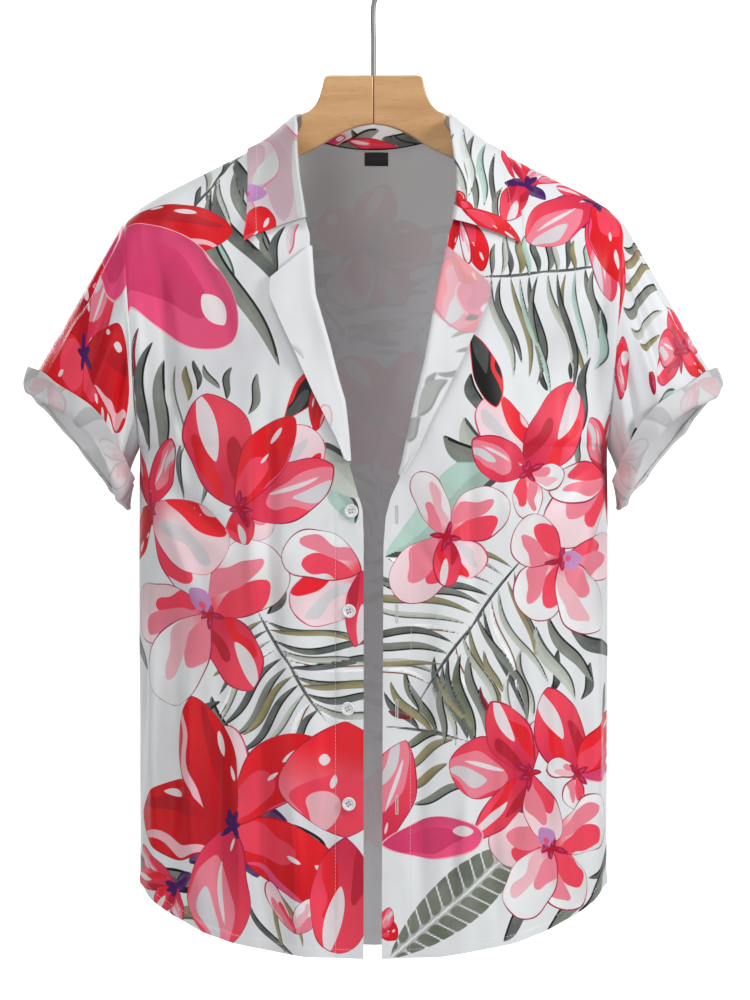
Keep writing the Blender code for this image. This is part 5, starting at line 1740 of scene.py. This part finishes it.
def turned_button():
    """A turned disc: its section carried round Z, then cut through by four small holes."""
    section = np.array(BUTTON_SECTION) * (BUTTON_RADIUS, BUTTON_THICKNESS)
    turn = np.linspace(0, 2 * math.pi, 56, endpoint=False)
    radius, z = section.T
    ring = np.stack([radius[:, None] * np.cos(turn), radius[:, None] * np.sin(turn),
                     np.broadcast_to(z[:, None], (len(z), len(turn)))], axis=-1)
    made = add_piece(plain_mesh("button_form", ring.reshape(-1, 3), tube_faces(len(z), len(turn)), 35))
    points, hole_faces = [], []
    for number in range(4):
        angle = math.pi / 4 + number * math.pi / 2
        centre = 0.0017 * np.array([math.cos(angle), math.sin(angle)])
        hole_faces += [[len(points) + corner for corner in face] for face in tube_faces(2, 14)]
        for level in (-0.001, BUTTON_THICKNESS + 0.001):
            points += [(centre[0] + BUTTON_HOLE * math.cos(a), centre[1] + BUTTON_HOLE * math.sin(a), level)
                       for a in np.linspace(0, 2 * math.pi, 14, endpoint=False)]
    cutter = add_piece(plain_mesh("button_cutter", points, hole_faces))
    cut = made.modifiers.new("holes", "BOOLEAN")
    cut.object = cutter
    cut.solver = "EXACT"
    bpy.context.view_layer.update()
    mesh = bpy.data.meshes.new_from_object(made.evaluated_get(bpy.context.evaluated_depsgraph_get()))
    for old in (made, cutter):
        bpy.data.objects.remove(old, do_unlink=True)
    mesh.shade_smooth()
    mesh.set_sharp_from_angle(angle=math.radians(35))
    return mesh


def make_buttons():
    """Buttons on the right front's edge, each turned a little further, and the thread in their holes."""
    form_mesh = turned_button()
    plastic = button_material()
    stitches = []
    for number, (out, down) in enumerate(BUTTONS, start=1):
        place, normal = front_hit(-out * MM, down)
        back = place + normal * 0.0004
        turn = np.array(Vector(normal).to_track_quat("Z", "Y").to_matrix())
        spin = math.radians(8 * number)
        about = np.array([[math.cos(spin), -math.sin(spin), 0], [math.sin(spin), math.cos(spin), 0], [0, 0, 1]])
        points = np.zeros(len(form_mesh.vertices) * 3)
        form_mesh.vertices.foreach_get("co", points)
        mesh = form_mesh.copy()
        mesh.name = f"button_{number}_turned"
        mesh.vertices.foreach_set("co", (points.reshape(-1, 3) @ about.T @ turn.T + back).ravel())
        mesh.materials.clear()
        hand_over(add_piece(mesh), "button", plastic, f"button_{number}")
        for side in (-1, 1):
            for shift in (-0.00022, 0.0, 0.00022):
                x = side * 0.0012 + shift
                ends = np.array([[x, -0.0013, 0.0014], [x, 0.0013, 0.0014]]) @ about.T @ turn.T + back
                stitches.append((*ends, normal * 0.0006))
    hand_over(strands("button_thread", stitches, 0.00016), "button", white_thread())


def make_label(body):
    """A woven label on the back's inner face: a thin patch that follows it, sewn down at both ends."""
    lowest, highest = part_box("neck_label")
    inner = tree_of([MADE["back"][0]])
    rows = []
    for z in np.linspace(lowest.z, highest.z, 13) + LABEL_RISE:
        line = []
        for x in np.linspace(lowest.x, highest.x, 25):
            hit = inner.ray_cast(Vector((x, 0.0, z)), Vector((0, 1, 0)))[0]
            belly = 0.0005 * math.sin(math.pi * (x - lowest.x) / (highest.x - lowest.x))
            line.append((x, hit.y - body.cloth_thickness - 0.0009 - belly, z))
        rows.append(line)
    points = np.array(rows)
    normals = normals_of(points, False, points + np.array([0.0, 0.1, 0.0]))
    piece = cloth_shell("label_patch", points, normals, 0.0005, step=1)
    satin = label_material()
    for _ in range(2):
        piece.data.materials.append(satin)
    finish_cloth(piece, "neck_label")
    stitches = []
    for column in (1, -2):
        for row in range(1, 12):
            normal = normals[row, column] * 0.0001
            start = points[row, column] + normal
            stitches.append((start, start + np.array([0, 0, 0.0006]), normal))
    hand_over(strands("label_stitches", stitches, 0.00014), "label", thread_material("black_thread", "#1E1E20"))


# ---- hanger ----


def hanger_outline():
    """Half of the hanger's front view, from its joint along the top, out to the arm's end and back."""
    def arm_height(out):
        share = (out - ARM_STATIONS[0]) / (ARM_END - ARM_STATIONS[0])
        return ARM_HEIGHTS[0] + (ARM_HEIGHTS[1] - ARM_HEIGHTS[0]) * share

    tops = [(out, float(along(SHOULDER_LINE, 1, out)) + ARM_UNDER_RIDGE) for out in ARM_STATIONS]
    last_out, last_down = tops[-1]
    radius = arm_height(last_out) / 2
    turns = np.radians(np.arange(18, 163, 12))
    end = [(last_out + (ARM_END - last_out) * math.sin(turn),
            last_down + radius * (1 - math.cos(turn)) + 5.5 * math.sin(turn / 2)) for turn in turns]
    bottoms = [(out, down + arm_height(out)) for out, down in reversed(tops)]
    neck = catmull(NECK_PROFILE, 3).tolist()
    arch = catmull([bottoms[-1]] + ARCH, 3).tolist()[1:]
    return [(0, 0), *neck, *tops, *end, *bottoms, *arch]


def make_hanger(looks):
    """Two boards cut to the outline, with rounded edges, glued at the middle."""
    for side, shift in (("right", 0.11), ("left", 0.52)):
        sign = sign_of(side)
        points = [(max(out, 0.06), down) for out, down in hanger_outline()]
        count = len(points)
        front = [(sign * out * MM, -HANGER_THICKNESS / 2, float(height(down))) for out, down in points]
        front = np.array(front)
        both = np.concatenate([front, front + np.array([0.0, HANGER_THICKNESS, 0.0])])
        ring = np.arange(count)
        walls = np.stack([ring, np.roll(ring, -1), np.roll(ring, -1) + count, ring + count], axis=-1).tolist()
        faces = [ring[::-1].tolist(), (ring + count).tolist(), *walls]
        made = add_piece(plain_mesh(f"hanger_board_{side}", both, faces))
        bevel = made.modifiers.new("rounded edges", "BEVEL")
        bevel.width = 0.0014
        bevel.segments = 3
        bevel.limit_method = "ANGLE"
        bevel.angle_limit = math.radians(60)
        light, dark = np.array(looks.wood_light[:3]), np.array(looks.wood_dark[:3])
        wood = wood_material(f"beech_{side}", light, dark, shift)
        hand_over(made, "hanger_wood", wood, f"hanger_half_{side}")
    make_joint()


def make_joint():
    """The glue line between the boards: a thin dark strip just inside their faces."""
    top, bottom = float(height(0.4)), float(height(ARCH[-1][1] - 0.4))
    depth = HANGER_THICKNESS / 2 - 0.0005
    corners = [(x, y, z) for x in (-0.00045, 0.00045) for y in (-depth, depth) for z in (bottom, top)]
    faces = [(0, 1, 3, 2), (4, 6, 7, 5), (0, 4, 5, 1), (2, 3, 7, 6), (0, 2, 6, 4), (1, 5, 7, 3)]
    made = add_piece(plain_mesh("hanger_glue_line", corners, faces))
    hand_over(made, "hanger_wood", thread_material("dried_glue", "#6B4526", 0.6))


def make_hook():
    """Wire hook: a round section carried along its centre line, straight up from the board and round."""
    radius = HOOK_INNER_RADIUS + WIRE_RADIUS
    centre = -HOOK_INNER_RADIUS
    start = HANGER_TOP + GAP
    bend = centre - radius * 2.2
    route = [(0.0, start), (0.0, (start + bend) / 2), (0.0, bend), (radius * 0.28, centre - radius * 1.45),
             (radius * 0.62, centre - radius * 0.9)]
    turns = np.arange(math.radians(-35), math.radians(201), math.radians(26))
    route += [(radius * math.cos(turn), centre + radius * math.sin(turn)) for turn in turns]
    line = catmull(route, 8)
    path = np.stack([line[:, 0], np.zeros(len(line)), line[:, 1]], axis=1)
    tangent = unit(np.gradient(path, axis=0))
    depth = np.array([0.0, 1.0, 0.0])
    aside = unit(np.cross(tangent, depth))
    turn = np.linspace(0, 2 * math.pi, 20, endpoint=False)
    ring = aside[:, None] * np.cos(turn)[None, :, None] + depth * np.sin(turn)[None, :, None]
    points = path[:, None] + ring * (WIRE_RADIUS * 0.985)
    rounding = np.linspace(0.3, 1.4, 4)
    tip = path[-1] + tangent[-1] * WIRE_RADIUS * np.sin(rounding)[:, None]
    cap = tip[:, None] + ring[-1][None] * (WIRE_RADIUS * np.cos(rounding))[:, None, None]
    points = np.concatenate([points, cap])
    faces = tube_faces(len(points), len(turn))
    made = add_piece(plain_mesh("hook_wire", points.reshape(-1, 3), faces, 60))
    hand_over(made, "hook_wire", steel_material(), "hanger_hook")


# ---- stage ----


def studio_light(name, place, size, power):
    """A soft white light that shines on the middle of the shirt."""
    light = bpy.data.lights.new(name, "AREA")
    light.shape = "RECTANGLE"
    light.size, light.size_y = size
    light.energy = power
    made = bpy.data.objects.new(name, light)
    made.location = place
    made.rotation_euler = (Vector((0.0, 0.0, -0.5)) - Vector(place)).to_track_quat("-Z", "Y").to_euler()
    bpy.context.scene.collection.objects.link(made)


def stage_sheet(name, corners, material):
    mesh = bpy.data.meshes.new(name)
    mesh.from_pydata(corners, [], [(0, 1, 2, 3)])
    mesh.materials.append(material)
    add_piece(mesh)


def make_stage(stage):
    """A pale floor, an evenly bright backdrop far behind the shirt, soft lights, and the camera."""
    paper, tree, shader = start_material("floor_paper")
    tone = noise(tree, object_place(tree), 1.2, 2.0)
    colour = mix(tree, ramp(tree, tone, 0.3, 0.7), linear("#F4F4F2"), linear("#FAFAFA"))
    feed_inputs(tree, shader, Base_Color=colour, Roughness=0.9)
    stage_sheet("floor", [(x, y, FLOOR_Z) for x, y in ((-9, -9), (9, -9), (9, BACKDROP_Y), (-9, BACKDROP_Y))],
                paper)
    lit, tree, shader = start_material("lit_backdrop")
    feed_inputs(tree, shader, Base_Color=(0.9, 0.9, 0.9), Emission_Color=(1.0, 1.0, 1.0),
                Emission_Strength=stage.backdrop)
    stage_sheet("backdrop", [(x, BACKDROP_Y, z) for x, z in ((-5, -3.0), (5, -3.0), (5, 3.5), (-5, 3.5))], lit)

    world = bpy.data.worlds.new("studio")
    world.use_nodes = True
    background = world.node_tree.nodes["Background"]
    feed_inputs(world.node_tree, background, Color=(1.0, 1.0, 1.0), Strength=stage.fill_light)
    bpy.context.scene.world = world
    studio_light("key", (2.5, -1.6, 0.7), (0.6, 0.9), stage.key_light)
    studio_light("fill", (-1.6, -3.2, 0.1), (1.4, 1.6), stage.key_light * 0.38)
    studio_light("top", (-0.3, -0.9, 1.7), (1.2, 0.7), stage.key_light * 0.40)
    studio_light("rear", (-2.2, 3.4, 1.0), (1.6, 1.6), stage.key_light * 0.7)

    lens_made = bpy.data.cameras.new("camera")
    lens_made.sensor_fit = "VERTICAL"
    lens_made.sensor_height = SENSOR_HEIGHT
    lens_made.lens = SENSOR_HEIGHT * stage.camera_distance / stage.frame_height
    lens_made.clip_end = 50.0
    camera = bpy.data.objects.new("camera", lens_made)
    camera.location = (CAMERA_X, -stage.camera_distance, CAMERA_Z)
    camera.rotation_euler = (math.pi / 2, 0.0, 0.0)
    bpy.context.scene.collection.objects.link(camera)
    bpy.context.scene.camera = camera
    bpy.context.scene.view_settings.view_transform = "Standard"


# ---- settings, operators and panel ----


class ShirtCloth(bpy.types.PropertyGroup):
    cloth_thickness: FloatProperty(name="Cloth thickness", description="Thickness of a single shell of cloth",
                                   default=0.0009, min=0.0004, max=0.0015, unit="LENGTH", precision=5)
    crease_depth: FloatProperty(name="Crease depth", description="Share of the creases' full depth",
                                default=1.8, min=0.0, max=3.0, subtype="FACTOR")
    stitch: FloatProperty(name="Stitch length", description="Length of a stitch of the hem and facings",
                          default=0.0024, min=0.001, max=0.005, unit="LENGTH", precision=5)


class ShirtLooks(bpy.types.PropertyGroup):
    reverse: FloatVectorProperty(name="Reverse", description="Colour of the cloth's reverse",
                                 default=(0.80, 0.80, 0.82), size=3, min=0.0, max=1.0, subtype="COLOR")
    show_through: FloatProperty(name="Show-through", description="How far the print shows on the reverse",
                                default=0.12, min=0.0, max=1.0, subtype="FACTOR")
    lapel_show_through: FloatProperty(name="Lapel show-through", description="The same on the lapels",
                                      default=0.58, min=0.0, max=1.0, subtype="FACTOR")
    cuff_show_through: FloatProperty(name="Cuff show-through", description="The same on the cuffs",
                                     default=0.24, min=0.0, max=1.0, subtype="FACTOR")
    wood_light: FloatVectorProperty(name="Light wood", description="Early wood of the hanger",
                                    default=(0.70, 0.42, 0.20), size=3, min=0.0, max=1.0, subtype="COLOR")
    wood_dark: FloatVectorProperty(name="Dark wood", description="Late wood of the hanger",
                                   default=(0.57, 0.31, 0.13), size=3, min=0.0, max=1.0, subtype="COLOR")


class ShirtStage(bpy.types.PropertyGroup):
    key_light: FloatProperty(name="Key light", description="Power of the main soft light",
                             default=49.0, min=0.0, max=1000.0, unit="POWER")
    backdrop: FloatProperty(name="Backdrop", description="Brightness of the backdrop",
                            default=1.05, min=0.0, max=10.0)
    fill_light: FloatProperty(name="Fill light", description="Strength of the even light from all around",
                              default=0.25, min=0.0, max=5.0)
    camera_distance: FloatProperty(name="Camera distance", description="From the hanger's plane to the camera",
                                   default=5.0, min=1.0, max=20.0, unit="LENGTH")
    frame_height: FloatProperty(name="Frame height", description="Height that the camera takes in",
                                default=0.8755, min=0.1, max=5.0, unit="LENGTH")


class SHIRT_OT_stage(bpy.types.Operator):
    """Makes the floor, the backdrop, the lights and the camera"""
    bl_idname = "shirt.stage"
    bl_label = "Stage"

    def execute(self, context):
        make_stage(context.scene.shirt_stage)
        return {"FINISHED"}


class SHIRT_OT_fronts(bpy.types.Operator):
    """Makes both front panels with their print and creases"""
    bl_idname = "shirt.fronts"
    bl_label = "Fronts"

    def execute(self, context):
        make_fronts(context.scene.shirt_cloth, context.scene.shirt_looks)
        return {"FINISHED"}


class SHIRT_OT_back(bpy.types.Operator):
    """Makes the back panel"""
    bl_idname = "shirt.back"
    bl_label = "Back"

    def execute(self, context):
        make_back(context.scene.shirt_cloth, context.scene.shirt_looks)
        return {"FINISHED"}


class SHIRT_OT_sleeves(bpy.types.Operator):
    """Makes both sleeves"""
    bl_idname = "shirt.sleeves"
    bl_label = "Sleeves"

    def execute(self, context):
        make_sleeves(context.scene.shirt_cloth, context.scene.shirt_looks)
        return {"FINISHED"}


class SHIRT_OT_cuffs(bpy.types.Operator):
    """Makes the turned-up cuffs"""
    bl_idname = "shirt.cuffs"
    bl_label = "Cuffs"

    def execute(self, context):
        make_cuffs(context.scene.shirt_cloth, context.scene.shirt_looks)
        return {"FINISHED"}


class SHIRT_OT_lapels(bpy.types.Operator):
    """Makes the folded-back lapels"""
    bl_idname = "shirt.lapels"
    bl_label = "Lapels"

    def execute(self, context):
        make_lapels(context.scene.shirt_cloth, context.scene.shirt_looks)
        return {"FINISHED"}


class SHIRT_OT_collar(bpy.types.Operator):
    """Makes the collar"""
    bl_idname = "shirt.collar"
    bl_label = "Collar"

    def execute(self, context):
        make_collar(context.scene.shirt_cloth, context.scene.shirt_looks)
        return {"FINISHED"}


class SHIRT_OT_stitches(bpy.types.Operator):
    """Sews the hems, facings and collar edge"""
    bl_idname = "shirt.stitches"
    bl_label = "Stitches"

    def execute(self, context):
        make_stitches(context.scene.shirt_cloth)
        return {"FINISHED"}


class SHIRT_OT_buttonholes(bpy.types.Operator):
    """Sews the buttonholes"""
    bl_idname = "shirt.buttonholes"
    bl_label = "Buttonholes"

    def execute(self, context):
        make_buttonholes()
        return {"FINISHED"}


class SHIRT_OT_buttons(bpy.types.Operator):
    """Makes the four-hole buttons and their thread"""
    bl_idname = "shirt.buttons"
    bl_label = "Buttons"

    def execute(self, context):
        make_buttons()
        return {"FINISHED"}


class SHIRT_OT_label(bpy.types.Operator):
    """Makes the plain neck label"""
    bl_idname = "shirt.label"
    bl_label = "Neck label"

    def execute(self, context):
        make_label(context.scene.shirt_cloth)
        return {"FINISHED"}


class SHIRT_OT_hanger(bpy.types.Operator):
    """Makes the hanger's two boards and their joint"""
    bl_idname = "shirt.hanger"
    bl_label = "Hanger"

    def execute(self, context):
        make_hanger(context.scene.shirt_looks)
        return {"FINISHED"}


class SHIRT_OT_hook(bpy.types.Operator):
    """Makes the wire hook"""
    bl_idname = "shirt.hook"
    bl_label = "Hook"

    def execute(self, context):
        make_hook()
        return {"FINISHED"}


OPERATORS = (
    SHIRT_OT_stage, SHIRT_OT_fronts, SHIRT_OT_back, SHIRT_OT_sleeves, SHIRT_OT_cuffs, SHIRT_OT_lapels,
    SHIRT_OT_collar, SHIRT_OT_stitches, SHIRT_OT_buttonholes, SHIRT_OT_buttons, SHIRT_OT_label,
    SHIRT_OT_hanger, SHIRT_OT_hook,
)


class SHIRT_PT_panel(bpy.types.Panel):
    """Lists the shirt's settings and pieces"""
    bl_idname = "SHIRT_PT_panel"
    bl_label = "Shirt on a hanger"
    bl_space_type = "VIEW_3D"
    bl_region_type = "UI"
    bl_category = "Shirt"

    def draw(self, context):
        for group in (context.scene.shirt_cloth, context.scene.shirt_looks, context.scene.shirt_stage):
            box = self.layout.box()
            for name in group.__annotations__:
                box.prop(group, name)
        for made in OPERATORS:
            self.layout.operator(made.bl_idname)


CLASSES = [ShirtCloth, ShirtLooks, ShirtStage, *OPERATORS, SHIRT_PT_panel]


def register():
    for made in CLASSES:
        bpy.utils.register_class(made)
    bpy.types.Scene.shirt_cloth = PointerProperty(type=ShirtCloth)
    bpy.types.Scene.shirt_looks = PointerProperty(type=ShirtLooks)
    bpy.types.Scene.shirt_stage = PointerProperty(type=ShirtStage)


def unregister():
    for name in ("shirt_stage", "shirt_looks", "shirt_cloth"):
        delattr(bpy.types.Scene, name)
    for made in reversed(CLASSES):
        bpy.utils.unregister_class(made)


def main():
    register()
    for made in OPERATORS:
        getattr(bpy.ops.shirt, made.bl_idname.split(".")[1])()
    bpy.context.view_layer.update()


if __name__ == "__main__":
    main()
